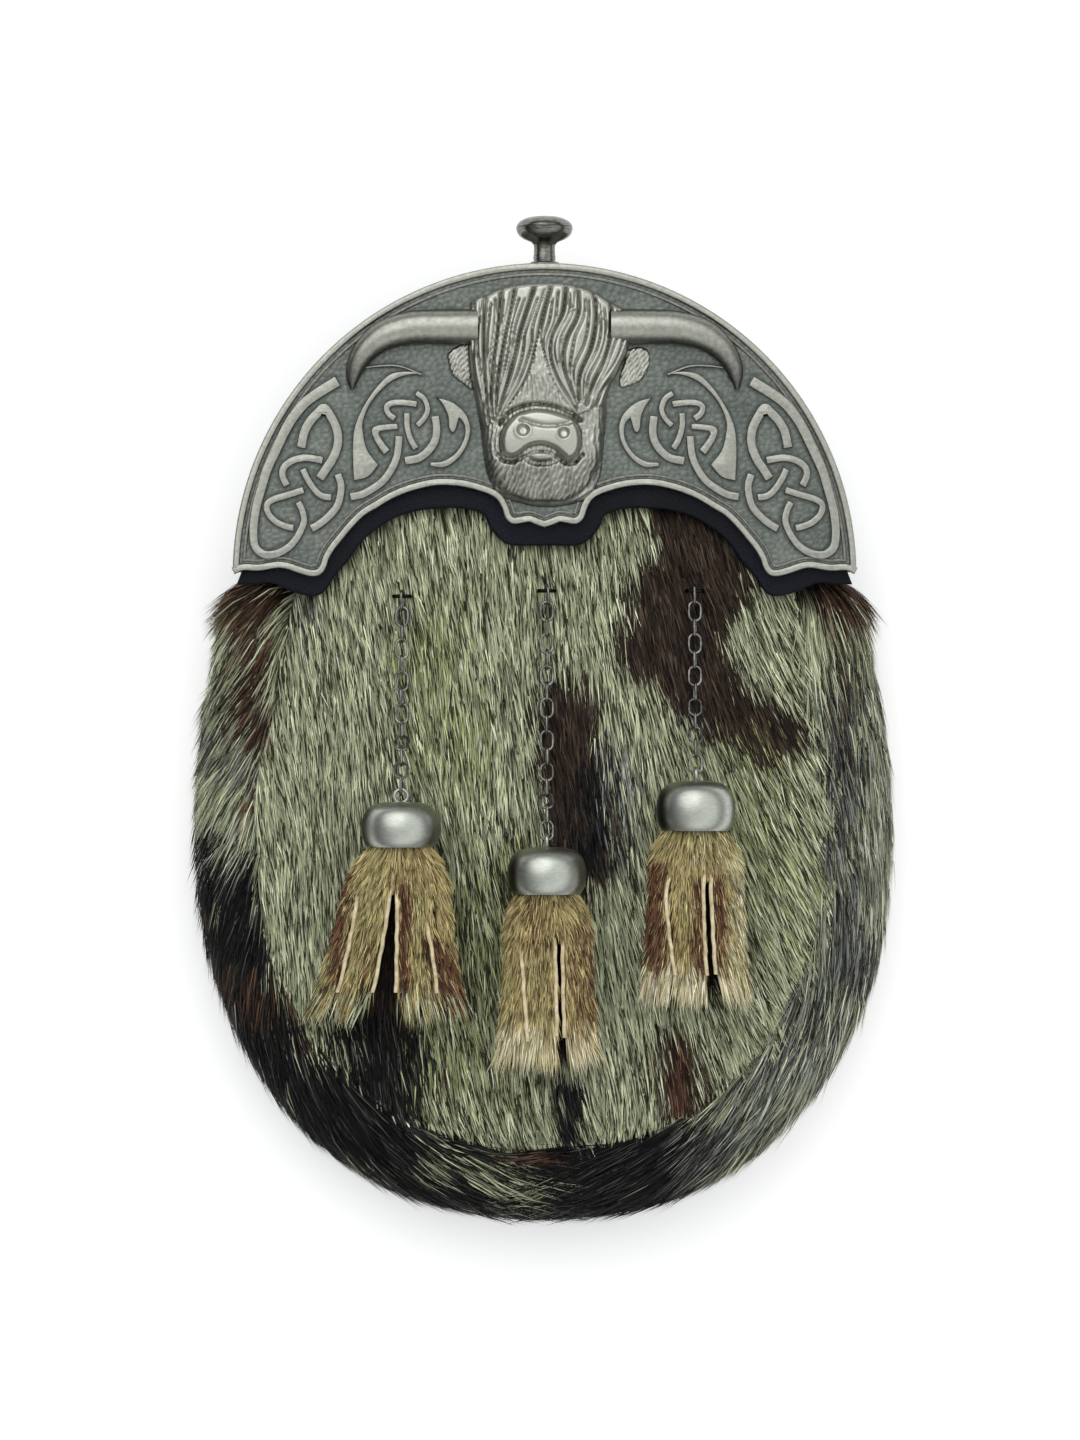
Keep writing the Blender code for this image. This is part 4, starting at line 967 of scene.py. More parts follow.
def ground(outlines):
    """The pebbled face between the figures."""
    outline = plate_outline()
    grid_x, grid_y, places = grid_over(outline, (GROUND_STEP, GROUND_STEP))
    wanted = inside(places, outline)
    _, _, spots = grid_over(outline, PEBBLE)
    spots += RANDOM.uniform(-0.45, 0.45, spots.shape) * PEBBLE
    squeeze = np.array((1 / PEBBLE[0], 1 / PEBBLE[1])) * PEBBLE[1]
    pebble = np.zeros(len(places))
    gaps = nearest(places[wanted] * squeeze, spots * squeeze, 2)
    pebble[wanted] = np.clip((gaps[:, 1] - gaps[:, 0]) / (0.42 * PEBBLE[1]), 0, 1)
    pebble = pebble * pebble * (3 - 2 * pebble)
    edges = np.vstack([dense(one, 0.5 * MM) for one in outlines])
    edges = np.vstack([edges, mirror(edges), dense(outline, 0.5 * MM)])
    away = np.full(len(places), GROOVE_WIDTH)
    away[wanted] = nearest(places[wanted], edges)[:, 0]
    clear = np.clip(away / GROOVE_WIDTH, 0, 1)
    height = PLATE_FACE + PEBBLE_HEIGHT * pebble * (0.25 + 0.75 * clear)
    cloud = waves(places[:, 0], places[:, 1], 14 * MM, 21)
    # Tone: lighter on the pebbles, and darker near the figures and the outline, painted shade
    tone = (0.34 + 0.34 * pebble + 0.08 * cloud) * (0.3 + 0.7 * clear**0.7)
    shape = grid_x.shape
    return height_mesh(
        "cantle_ground", grid_x, grid_y, height.reshape(shape), wanted.reshape(shape),
        tone.reshape(shape), "ground",
    )


def plate():
    made = flat_shape("cantle_plate", [plate_outline()], PLATE_Z, PLATE_FACE - 0.05 * MM, 0.15 * MM, "ground")
    set_tone(made, np.full(len(made.data.vertices), 0.4))
    return made


def wall():
    """The arc's side wall with its hole for the knob's stem, and the collar round it."""
    outline = np.vstack([
        arc(ARC_RADIUS, *WALL_ENDS, 96), arc(ARC_INNER, *WALL_ENDS, 96)[::-1],
    ])
    made = flat_shape("cantle_wall", [outline], CANTLE_LOW.z, RIM_TOP, 0.6 * MM, "relief", 3)
    middle_z = (KNOB_LOW.z + KNOB_HIGH.z) / 2
    top_y = ARC_CENTRE_Y + ARC_RADIUS
    turn = Matrix.Translation((0, top_y, middle_z)) @ Matrix.Rotation(-math.pi / 2, 4, "X")
    points, faces = turned(((-6 * MM, STEM_HOLE), (6 * MM, STEM_HOLE)), 40)
    faces += [tuple(range(40))[::-1], tuple(range(40, 80))]
    cutter = link_object("stem_hole", mesh_from("stem_hole", points, faces))
    cutter.data.transform(turn)
    cut = made.modifiers.new("hole", "BOOLEAN")
    cut.operation = "DIFFERENCE"
    cut.object = cutter
    bake(made)
    bpy.data.objects.remove(cutter, do_unlink=True)
    made.data.set_sharp_from_angle(angle=math.radians(40))
    profile = [(-0.2, 3.9), (0.75, 3.9), (1.05, 3.6), (1.15, 3.3), (1.05, 3.1), (-0.2, 3.1)]
    points, faces = turned([(up * MM, radius * MM) for up, radius in profile], 40)
    collar = link_object("collar", mesh_from("collar", points, faces), "relief", 40)
    collar.data.transform(turn)
    made = joined("cantle_wall", [made, collar])
    # Darker towards the floor: painted shade
    tone_by_height(made, CANTLE_LOW.z, RIM_TOP, 0.45, 0.85)
    return made


def bake(thing):
    """Applies the modifiers."""
    graph = bpy.context.evaluated_depsgraph_get()
    mesh = bpy.data.meshes.new_from_object(thing.evaluated_get(graph))
    thing.modifiers.clear()
    thing.data = mesh


def figures_and_rims(outlines):
    pieces = []
    for outline in outlines:
        pieces.append(flat_shape("strand", [outline], PLATE_TOP - SINK, STRAND_TOP, 0.34 * MM, "relief"))
    left = joined("cantle_knots", pieces)
    right = left.copy()
    right.data = left.data.copy()
    bpy.context.scene.collection.objects.link(right)
    right.data.transform(Matrix.Scale(-1, 4, (1, 0, 0)))
    right.data.flip_normals()
    made = joined("cantle_knots", [left, right])
    # Darker down the strands' sides and at their foot: painted shade
    tone_by_height(made, STRAND_TOP - 0.85 * MM, STRAND_TOP - 0.1 * MM, 0.05, 0.78)
    lower = both_halves(RIM_LINE)
    inner_lower = lower + side_steps(lower) * 1.75 * MM
    inner_arc = arc(ARC_RADIUS - 2.9 * MM, 3, 177, 96)
    # Each rim: its line, width, foot, top and rounding
    rims = (
        (lower, RIM_WIDTH, PLATE_TOP - 4 * SINK, RIM_TOP, 0.5 * MM),
        (inner_lower[3:-3], 0.7 * MM, PLATE_TOP - SINK, PLATE_TOP + 0.35 * MM, 0.2 * MM),
        (inner_arc, 0.9 * MM, PLATE_TOP - SINK, PLATE_TOP + 0.35 * MM, 0.25 * MM),
    )
    rims = [
        flat_shape("rim", [ribbon(line, (width,))], foot, top, rounding, "relief", 3)
        for line, width, foot, top, rounding in rims
    ]
    rim = joined("cantle_rims", rims)
    # Darker down the rims' sides: painted shade
    tone_by_height(rim, PLATE_TOP - SINK, RIM_TOP, 0.1, 0.85)
    return made, rim


# Head: a relief over a grid in the front view, heights in mm over the plate

HEAD_STEP = 1.0  # pixels of the view
HEAD_AREA = ((440, 660), (280, 512))
HEAD_OUTLINE = (
    (470, 301), (478, 297), (486, 294.5), (500, 288.5), (520, 284.5), (540, 283), (558, 283), (575, 285.5),
    (592, 291), (604, 297.5), (614, 304), (630, 313), (632, 331), (628, 350), (618, 372), (608, 392),
    (606, 420), (604, 450), (600, 478), (590, 497), (572, 504.6), (547, 507.5), (524, 504.6), (500, 496),
    (488, 478), (483, 455), (480, 430), (475, 400), (470, 370), (468.5, 335),
)
EAR_LEFT = ((446, 354), (456, 346), (472, 345), (474, 388), (462, 384), (451, 374))
EAR_RIGHT = ((627, 350), (640, 346), (650, 353), (648, 372), (636, 384), (618, 386))
MUZZLE = (
    (500, 441), (503, 430), (509, 421), (518, 414), (534, 409.5), (551, 411), (568, 417), (577, 424),
    (581, 437), (580, 450), (575, 458), (568, 460.5), (561, 455), (553, 449), (541, 445.5), (529, 448),
    (521, 454), (512, 458), (502, 454),
)
# Grooves between the locks, from the crown down; the parting's branches bound the forehead
LEFT_GROOVES = (
    ((469, 300), (468, 335), (471, 370), (476, 402), (483, 432)),
    ((484.8, 296), (484, 330), (484.8, 374), (487, 400), (489, 424)),
    ((501, 291), (498, 330), (493, 368), (491, 398), (493, 420)),
    ((514.6, 289), (508, 325), (501, 358), (497, 392), (496, 416)),
    ((534.5, 287), (521, 330), (516, 351), (507, 384), (498, 412)),
    ((551, 286), (541, 325), (537, 345), (526, 382), (502, 416)),
)
RIGHT_GROOVES = (
    ((551, 286), (541, 325), (541, 345), (555, 386), (574, 415)),
    ((566, 287), (562.7, 313), (551, 342), (554, 372), (575, 409)),
    ((577.6, 289), (577.6, 316), (566, 341), (563, 366), (576, 404)),
    ((594, 293), (596, 318), (591, 348), (580, 376), (578, 402)),
    ((610.8, 302), (611, 330), (604, 361), (593, 384), (586, 404)),
    ((631, 316), (631, 340), (618, 367), (602, 392), (592, 412)),
)
CHIN = ((496, 488), (526, 499), (547, 501), (572, 499), (594, 488), (600, 512), (547, 520), (490, 512))
MUZZLE_CREASE = ((521, 420.5), (532, 424), (545, 426.5), (558, 426), (570, 423.5))
# Grooves beside the muzzle, each with its depth and half width in mm
MUZZLE_GROOVES = (
    (((500, 424), (508, 414), (520, 407.5), (536, 404.5), (553, 406.5), (570, 413), (580, 421)), 1.3, 0.55),
    (((498, 455), (503, 461), (513, 462.5), (524, 457)), 1.0, 0.45),
    (((557, 457), (566, 464), (575, 463), (583, 455)), 1.0, 0.45),
)
NOSTRILS = ((523, 431, 1.75), (563.5, 434, 1.6))  # middle in the view, and size in mm
# Rounded masses of the head: middle in the view, half width, half height and rise in mm
DOMES = (((547, 358), 23, 25, 3.9), ((542, 440), 15.5, 17.5, 3.0))
MUZZLE_TOP = 7.4


def head_groove_lines():
    """Each groove with its depth and half width, in mm, the fine ones from between the main ones."""
    found = []
    for grooves in (LEFT_GROOVES, RIGHT_GROOVES):
        lines = [smooth_line(groove, 10) for groove in grooves]
        found += [(line, 1.35, 0.5) for line in lines]
        for one, two in zip(lines, lines[1:]):
            for share in (0.33, 0.66):
                line = one + (two - one) * share
                wobble = 1.4 * np.sin(np.linspace(0, 11, len(line)) + RANDOM.uniform(0, 6))
                line[:, 0] += wobble
                found.append((line[RANDOM.integers(1, 5):], 0.75, 0.3))
    return found


def evenly(line, step):
    """Points about a step apart along an open line."""
    lengths = np.concatenate([[0], np.cumsum(np.linalg.norm(np.diff(line, axis=0), axis=1))])
    at = np.linspace(0, lengths[-1], max(int(lengths[-1] / step), 2))
    return np.column_stack([np.interp(at, lengths, line[:, k]) for k in range(line.shape[1])])


def line_field(lines, places):
    """The deepest groove at each place: for each line a depth and half width in mm."""
    field = np.zeros(len(places))
    for line, depth, half in lines:
        fine = evenly(smooth_line(line, 3), 0.6)
        reach = (half * 3 * MM) / UNIT
        near = (
            (places[:, 0] > fine[:, 0].min() - reach) & (places[:, 0] < fine[:, 0].max() + reach)
            & (places[:, 1] > fine[:, 1].min() - reach) & (places[:, 1] < fine[:, 1].max() + reach)
        )
        away = nearest(places[near], fine)[:, 0] * UNIT / MM
        field[near] = np.maximum(field[near], depth * np.exp(-((away / half) ** 2)))
    return field


def edge_distance(places, outline):
    """Distance in mm to the closed outline, negative outside it."""
    away = nearest(places, dense(outline, 0.5))[:, 0] * UNIT / MM
    return np.where(inside(places, outline), away, -away)


def closed_line(points, per_span=4):
    points = np.array(points, float)
    wrapped = np.vstack([points, points[:1]])
    return smooth_line(wrapped, per_span)[:-1]


def soft_step(value, width):
    share = np.clip(value / width, 0, 1)
    return np.sqrt(share * (2 - share))


def head_height(places):
    """Height of the head in mm over the plate at places of the view, below zero outside it."""
    x, y = places.T
    height = np.full(len(places), -1.0)
    border = edge_distance(places, closed_line(HEAD_OUTLINE))
    base = np.full(len(places), 1.5)
    for (mid_x, mid_y), half_width, half_height, rise in DOMES:
        away = ((x - mid_x) * UNIT / MM / half_width) ** 2 + ((y - mid_y) * UNIT / MM / half_height) ** 2
        base = np.maximum(base, 1.5 + rise * np.sqrt(np.clip(1 - away, 0, 1)))
    forehead = inside(places, np.vstack([
        smooth_line(LEFT_GROOVES[-1][1:], 4), smooth_line(RIGHT_GROOVES[0][1:], 4)[::-1],
    ]))
    locks = y < np.interp(x, (470, 500, 540, 576, 606), (432, 420, 395, 416, 404))
    strands = line_field(head_groove_lines(), places)
    hairy = 0.42 * ticks(x, y, 4.4, 13, 0.0)
    top = base + np.where(locks & ~forehead, 0.9 - strands, 0.15 + hairy)
    beard = y > 460
    top = np.where(beard, base + 0.45 * ticks(x, y, 5.2, 12, 0.4), top)
    chin = edge_distance(places, closed_line(CHIN))
    top = np.where(chin > 0, 1.6 + 0.5 * soft_step(0.9 - chin, 0.9), top)
    edge = np.interp(y, (380, 430), (1.3, 3.4))
    head = top * soft_step(border, edge)
    height = np.where(border > 0, head, height)
    for outline in (EAR_LEFT, EAR_RIGHT):
        rim = edge_distance(places, closed_line(outline))
        tuft = (0.7 + 0.8 * ticks(x, y + x * 0.4, 5, 9, 0.7)) * soft_step(rim, 1.2)
        height = np.where(rim > 0, np.maximum(height, tuft), height)
    return muzzle_height(places, height)


def ticks(x, y, spacing, length, slant):
    """Short upright strokes, 0 to 1, as cast hair has."""
    shift = 1.6 * waves(x, y, 26, 31)
    column = np.floor((x + slant * y + shift) / spacing)
    across = np.cos(2 * math.pi * (x + slant * y + shift) / spacing)
    broken = np.sin(2 * math.pi * y / length + 2.4 * column)
    return np.clip(0.5 + 0.5 * across, 0, 1) * np.clip(0.72 + 0.6 * broken, 0.1, 1)


def muzzle_height(places, height):
    x, y = places.T
    border = edge_distance(places, closed_line(MUZZLE))
    mid = ((x - 541) / 62) ** 2 + ((y - 433) / 40) ** 2
    top = MUZZLE_TOP - 1.6 * mid
    nose = top * 0.5 + top * 0.5 * soft_step(border, 1.5)
    for mid_x, mid_y, half in NOSTRILS:
        away = np.hypot(x - mid_x, y - mid_y) * UNIT / MM / half
        nose += 0.3 * np.exp(-(((away - 1.1) / 0.22) ** 2)) - 1.15 * np.exp(-((away / 0.78) ** 4))
        nose += 0.5 * np.exp(-((np.hypot(x - mid_x - 1, y - mid_y - 1.5) * UNIT / MM / 0.6) ** 2))
    nose -= line_field([(smooth_line(MUZZLE_CREASE, 6), 0.9, 0.5)], places)
    beside = line_field([(smooth_line(line, 6), depth, half) for line, depth, half in MUZZLE_GROOVES], places)
    height = np.where(border > 0, np.maximum(nose, height), height - beside * (height > 0))
    lip = ((x - 541.5) / 17) ** 2 + ((y - 456.5) / 6.2) ** 2
    under = ((x - 541.5) / 18) ** 2 + ((y - 459) / 8.5) ** 2
    hollow = (border <= 0) & (under < 1) & (height > 0)
    height = np.where(hollow, height - 1.1 * np.sqrt(np.clip(1 - under, 0, 1)), height)
    pout = 4.9 * np.sqrt(np.clip(1 - lip, 0, 1)) ** 0.5
    return np.where((border <= 0) & (lip < 1), np.maximum(height, pout), height)


def head():
    (left, right), (top, bottom) = HEAD_AREA
    view_x, view_y = np.meshgrid(np.arange(left, right, HEAD_STEP), np.arange(bottom, top, -HEAD_STEP))
    places = np.column_stack([view_x.ravel(), view_y.ravel()])
    found = head_height(places).reshape(view_x.shape)
    raised = found > 0
    near = blurred(raised.astype(float), 1) > 0
    found = np.where(raised, blurred(found, 1), -1.2)
    cavity = found - blurred(np.maximum(found, 0), 6)
    # Tone: darker in the hollows (patina and painted shade) and towards the bottom of the head; the muzzle
    # lighter, a painted highlight
    tone = np.clip(0.86 + 1.25 * cavity + 0.06 * waves(view_x, view_y, 30, 41), 0, 1.2)
    tone -= 0.22 * np.clip((view_y - 452) / 14, 0, 1)
    nose = inside(places, closed_line(MUZZLE)).reshape(view_x.shape)
    tone = np.where(nose, tone + 0.25, tone)
    grid_x, grid_y = from_view(view_x, view_y)
    return height_mesh(
        "cantle_head", grid_x, grid_y, PLATE_TOP + found * MM, near, tone, "relief",
    )


def horns():
    """Two polished horns, lofted through round sections."""
    line = smooth_line([(*from_view(*point), radius * MM) for point, radius in zip(HORN_LINE, HORN_RADII)], 6)
    pieces = []
    angles = np.linspace(0, 2 * math.pi, 28, endpoint=False)
    along = np.gradient(line[:, :2], axis=0)
    along /= np.linalg.norm(along, axis=1, keepdims=True)
    for sign in (1, -1):
        centres, sections = [], []
        for (x, y, radius), (dx, dy) in zip(line, along):
            centres.append(np.array((sign * x, y, PLATE_TOP + HORN_LIFT)))
            side = np.cos(angles)[:, None] * np.array((-dy * sign, dx, 0))
            sections.append(radius * (side + np.sin(angles)[:, None] * np.array((0, 0, 1))))
        points, faces = swept(centres, sections)
        pieces.append(link_object("horn", clean(mesh_from("horn", points, faces)), "relief", 60))
    made = joined("cantle_horns", pieces)
    # Darker on the horns' undersides: painted shade
    tone_by_height(made, PLATE_TOP + 1 * MM, PLATE_TOP + 5 * MM, 0.1, 0.8)
    return made


def cantle():
    outlines = figures()
    pieces = [ground(outlines), plate(), wall(), *figures_and_rims(outlines), head(), horns()]
    for piece in pieces:
        keep(piece, "cast_pewter", "cantle")


# Knob. Each row: height above the cantle's centre, radius, in mm

KNOB_PROFILE = (
    (72, 0), (72, 2.75), (77.0, 2.75), (77.0, 4.2), (78.05, 4.2), (78.05, 2.75), (81.5, 2.75), (82.4, 2.9),
    (83.4, 2.75), (84.6, 2.72), (85.6, 2.8), (86.4, 3.4), (87.2, 5.4), (87.9, 6.4), (88.7, 7.0), (89.6, 7.3),
    (90.2, 7.35), (90.35, 7.2), (90.5, 7.3), (91.2, 7.0), (91.9, 6.3), (92.5, 5.2), (92.9, 4.0), (93.15, 2.2),
    (93.3, 0),
)


def knob():
    points, faces = turned([(up * MM, radius * MM) for up, radius in KNOB_PROFILE], 48)
    made = link_object("push_knob", clean(mesh_from("push_knob", points, faces)), "knob", 35)
    set_tone(made, np.ones(len(made.data.vertices)))
    middle_z = (KNOB_LOW.z + KNOB_HIGH.z) / 2
    lie_down = Matrix.Rotation(-math.pi / 2, 4, "X")
    made.data.transform(Matrix.Translation((0, ARC_CENTRE_Y, middle_z)) @ lie_down)
    keep(made, "bright_metal", "knob", body="knob")


def clean(mesh):
    """Welds corners that lie in one place, and turns the faces out."""
    bm = bmesh.new()
    bm.from_mesh(mesh)
    bmesh.ops.remove_doubles(bm, verts=bm.verts, dist=0.001 * MM)
    bmesh.ops.dissolve_degenerate(bm, edges=bm.edges, dist=0.001 * MM)
    bmesh.ops.recalc_face_normals(bm, faces=bm.faces)
    bm.to_mesh(mesh)
    bm.free()
    return mesh


# Leather: the look of each piece that keeps its node's shape

LEATHERS = {
    "front_panel": "brown_leather", "side_gusset": "brown_leather", "top_gusset": "black_leather",
    "back_panel": "black_leather", "strap_loop_left": "black_leather", "strap_loop_right": "black_leather",
}
LEATHER_ROUNDING = 0.5 * MM


def dressed(node, look):
    """A leather node's own shape with rounded edges."""
    mesh = clean(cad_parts[node].data.copy())
    if "custom_normal" in mesh.attributes:
        mesh.attributes.remove(mesh.attributes["custom_normal"])
    thing = link_object(f"{node}_leather", mesh)
    mesh.materials.clear()
    mesh.materials.append(LOOKS[look])
    bevel = thing.modifiers.new("edges", "BEVEL")
    bevel.width = LEATHER_ROUNDING
    bevel.segments = 3
    bevel.limit_method = "ANGLE"
    bevel.angle_limit = math.radians(50)
    bake(thing)
    thing.data.shade_smooth()
    thing.data.set_sharp_from_angle(angle=math.radians(40))
    keep(thing, look, node)


def liner():
    """The black leather under the cantle."""
    lower = both_halves(LINER_LINE, 4)
    upper = arc(GUSSET_HIGH.x, 2, 178, 64)
    outline = np.vstack([lower, upper])
    made = flat_shape("liner_leather", [outline], LINER_LOW.z, LINER_HIGH.z, 0.8 * MM, "black_leather", 3)
    keep(made, "black_leather", "cantle_liner")


def leather():
    liner()
    for node, look in LEATHERS.items():
        dressed(node, look)


# Chains, caps, staples and tassels

SIDES = ("left", "middle", "right")
LINK_PITCH = 4.06 * MM
LINK_SPREAD = 1.57 * MM
WIRE_RADIUS = 0.375 * MM


def chain_line(side):
    """Middle line of the chain's node, from its staple to its cap."""
    points = vertex_array(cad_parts[f"chain_{side}"].data)
    x = (points[:, 0].min() + points[:, 0].max()) / 2
    reach = (LINK_PITCH + 2 * WIRE_RADIUS * math.cos(math.pi / 5) - 0.12 * MM) / 2 + WIRE_RADIUS
    line = []
    for y in np.linspace(points[:, 1].max() - reach, points[:, 1].min() + reach, 60):
        near = points[np.abs(points[:, 1] - y) < 2.4 * MM]
        line.append((x, y, (near[:, 2].min() + near[:, 2].max()) / 2))
    line = np.array(line)
    for _ in range(4):
        line[1:-1] = (line[:-2] + line[1:-1] * 2 + line[2:]) / 4
    return line


def chain(side):
    """Smooth interlocked links at the places of the node's links."""
    line = chain_line(side)
    lengths = np.concatenate([[0], np.cumsum(np.linalg.norm(np.diff(line, axis=0), axis=1))])
    count = round(lengths[-1] / LINK_PITCH)
    pitch = lengths[-1] / count
    stretch = pitch / 2 + 0.39 * MM - LINK_SPREAD
    round_angles = np.linspace(0, 2 * math.pi, 20, endpoint=False)
    wire_angles = np.linspace(0, 2 * math.pi, 9, endpoint=False)
    points, faces = [], []
    for k in range(count + 1):
        middle = np.array([np.interp(pitch * k, lengths, line[:, i]) for i in range(3)])
        ahead = np.array([np.interp(pitch * k + 0.5 * MM, lengths, line[:, i]) for i in range(3)])
        behind = np.array([np.interp(pitch * k - 0.5 * MM, lengths, line[:, i]) for i in range(3)])
        along = unit((ahead - behind)[None])[0]
        across = np.array((1.0, 0, 0))
        face = np.cross(along, across)
        twist = RANDOM.normal(0, 0.1)
        if k % 2 == 0:
            across, face = face, across
        turned_across = across * math.cos(twist) + face * math.sin(twist)
        face = face * math.cos(twist) - across * math.sin(twist)
        across = turned_across
        base = len(points)
        for angle in round_angles:
            out = across * math.cos(angle) + along * math.sin(angle)
            centre = middle + LINK_SPREAD * out + along * stretch * np.sign(round(math.sin(angle), 6))
            for turn in wire_angles:
                points.append(centre + WIRE_RADIUS * (out * math.cos(turn) + face * math.sin(turn)))
        rings, around = len(round_angles), len(wire_angles)
        for ring in range(rings):
            for i in range(around):
                a, b = base + ring * around, base + (ring + 1) % rings * around
                faces.append((a + i, a + (i + 1) % around, b + (i + 1) % around, b + i))
    made = link_object(f"chain_links_{side}", clean(mesh_from("links", points, faces)), "steel", 180)
    set_tone(made, np.ones(len(made.data.vertices)))
    keep(made, "dark_steel", f"chain_{side}")


# Cap, turned about its line. Each row: height above the lip as a share, radius in mm
CAP_PROFILE = (
    (0, 7.9), (0.0, 8.6), (0.03, 8.9), (0.1, 9.45), (0.2, 9.85), (0.32, 10.1), (0.45, 10.15), (0.58, 10.0),
    (0.7, 9.55), (0.8, 8.9), (0.88, 7.95), (0.94, 6.7), (0.975, 5.2), (0.99, 3.4), (1, 0),
)
CAP_WALL = 0.9 * MM
CAP_WIDEST = 10.15
# Painted shade on the caps' metal, as tone from their left side to their right: dark at the left edge, a
# little darker at the right
CAP_PAINTED_SHADE = ((-1, 0.0), (-0.82, 0.12), (-0.64, 1), (0.84, 1), (0.97, 0.45), (1, 0.3))
RING_RADIUS = 1.7 * MM
RING_WIRE = 0.45 * MM
RING_SUNK = 0.3 * MM


def cap_sizes(side):
    """Middle x, lip y, top y and middle z of a cap."""
    low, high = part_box(f"tassel_cap_{side}")
    top_y = high.y - 2 * RING_RADIUS + RING_SUNK - RING_WIRE
    return (low.x + high.x) / 2, low.y, top_y, (low.z + high.z) / 2


def cap(side):
    """A barrel shaped cap, open at its lip, with a ring for the chain."""
    x, lip_y, top_y, z = cap_sizes(side)
    height = top_y - lip_y
    outside = [(height * up, radius * MM) for up, radius in CAP_PROFILE]
    inner = [(max(up - CAP_WALL, 0), max(radius - CAP_WALL, 0)) for up, radius in outside[2:]]
    points, faces = turned(inner[::-1] + outside, 48)
    made = link_object(f"cap_{side}", clean(mesh_from("cap", points, faces)), "cap", 35)
    made.data.transform(Matrix.Translation((x, lip_y, z)) @ Matrix.Rotation(-math.pi / 2, 4, "X"))
    bpy.ops.mesh.primitive_torus_add(
        major_segments=24, minor_segments=10, major_radius=RING_RADIUS, minor_radius=RING_WIRE
    )
    ring = bpy.context.active_object
    line = chain_line(side)
    links = round(np.linalg.norm(np.diff(line, axis=0), axis=1).sum() / LINK_PITCH) + 1
    turn = Matrix.Rotation(0 if links % 2 else math.pi / 2, 4, "Y")
    ring.data.transform(Matrix.Translation((x, top_y + RING_RADIUS - RING_SUNK, z)) @ turn)
    ring.data.materials.append(LOOKS["cap"])
    ring.data.shade_smooth()
    made = joined(f"cap_{side}", [made, ring])
    # Painted shade on the caps' sides, by their place across the cap
    across = (vertex_array(made.data)[:, 0] - x) / (CAP_WIDEST * MM)
    set_tone(made, np.interp(across, *zip(*CAP_PAINTED_SHADE)))
    keep(made, "brushed_cap", f"tassel_cap_{side}")


def staple(side):
    """A bent wire whose bridge holds the chain."""
    low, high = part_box(f"chain_staple_{side}")
    radius = (high.y - low.y) / 2
    y = (low.y + high.y) / 2
    corner = (high.x - low.x) / 4
    line = [(low.x + radius, low.z), (low.x + radius, high.z - corner)]
    for angle in np.radians((165, 150, 130, 110)):
        across, up = corner * math.cos(angle), corner * math.sin(angle)
        line.append((low.x + corner + radius + across, high.z - corner - radius + up))
    middle = (low.x + high.x) / 2
    line = [*line, (middle, high.z - radius)]
    line += [(2 * middle - px, pz) for px, pz in line[:-1]][::-1]
    path = smooth_line([(px, y, pz) for px, pz in line], 3)
    along = unit(np.gradient(path, axis=0))
    angles = np.linspace(0, 2 * math.pi, 12, endpoint=False)
    sections = []
    for step in along:
        side_step = np.cross(step, (0, 1, 0))
        steps = np.cos(angles)[:, None] * side_step + np.sin(angles)[:, None] * np.array((0, 1, 0))
        sections.append(radius * steps)
    points, faces = swept(list(path), sections)
    made = link_object(f"staple_{side}", clean(mesh_from("staple", points, faces)), "steel", 60)
    # Tone zero darkens the whole staple: painted shade
    set_tone(made, np.zeros(len(made.data.vertices)))
    keep(made, "dark_steel", f"chain_staple_{side}")


# Strips of each tassel in the front view: its first and last y, then for each strip its left and right
# x where the strips part, the same at its end, and whether it lies behind the others
STRIPS = {
    "left": (
        846, 991,
        ((350, 360, 320, 338, 0), (362, 392, 342, 373, 0), (399, 432, 398, 437, 0), (434, 446, 441, 459, 0),
         (366, 398, 352, 396, 1), (398, 436, 402, 444, 1)),
    ),
    "middle": (
        893, 1037,
        ((508, 521, 503, 527, 0), (522, 554, 529, 556, 0), (563, 589, 565, 593, 0),
         (520, 550, 510, 548, 1), (548, 580, 550, 590, 1)),
    ),
    "right": (
        830, 974,
        ((651, 669, 647, 673, 0), (672, 702, 676, 705, 0), (710, 738, 716, 743, 0),
         (660, 695, 650, 692, 1), (692, 730, 696, 742, 1)),
    ),
}
# Bare cut edges, in the front view
CUT_EDGES = {
    "left": (((361, 884), (351, 940), (339, 991)), ((393.5, 879), (384, 940), (374, 991)),
             ((398.5, 884), (398, 940), (397, 991)), ((426, 915), (433, 951), (438, 992))),
    "middle": (((521, 940), (524, 985), (528, 1040)), ((554.5, 926), (556, 980), (557, 1034)),
               ((562.5, 930), (563, 980), (564.5, 1036))),
    "right": (((670.5, 867), (665.5, 896), (669, 935), (674.5, 974)), ((702.5, 863), (703, 920), (706, 974)),
              ((709, 863), (711.5, 920), (715, 973))),
}
CUT_EDGE_WIDTH = 0.95 * MM
CUT_EDGE_LIFT = 1.9 * MM
PARTING = 0.28  # share of a tassel's length above which its strips are gathered
GATHERED = 0.62  # width at the cap as a share of that at the parting
STRIP_THICKNESS = 1.3 * MM
TASSEL_HAIRS = 17000
TASSEL_LENGTHS = (4.5, 8)
TASSEL_WIDTHS = (0.18, 0.32)
TASSEL_RISES = (20, 5)
HIDE_SHADE = 0.3  # the hide's brightness as a share of its hair's
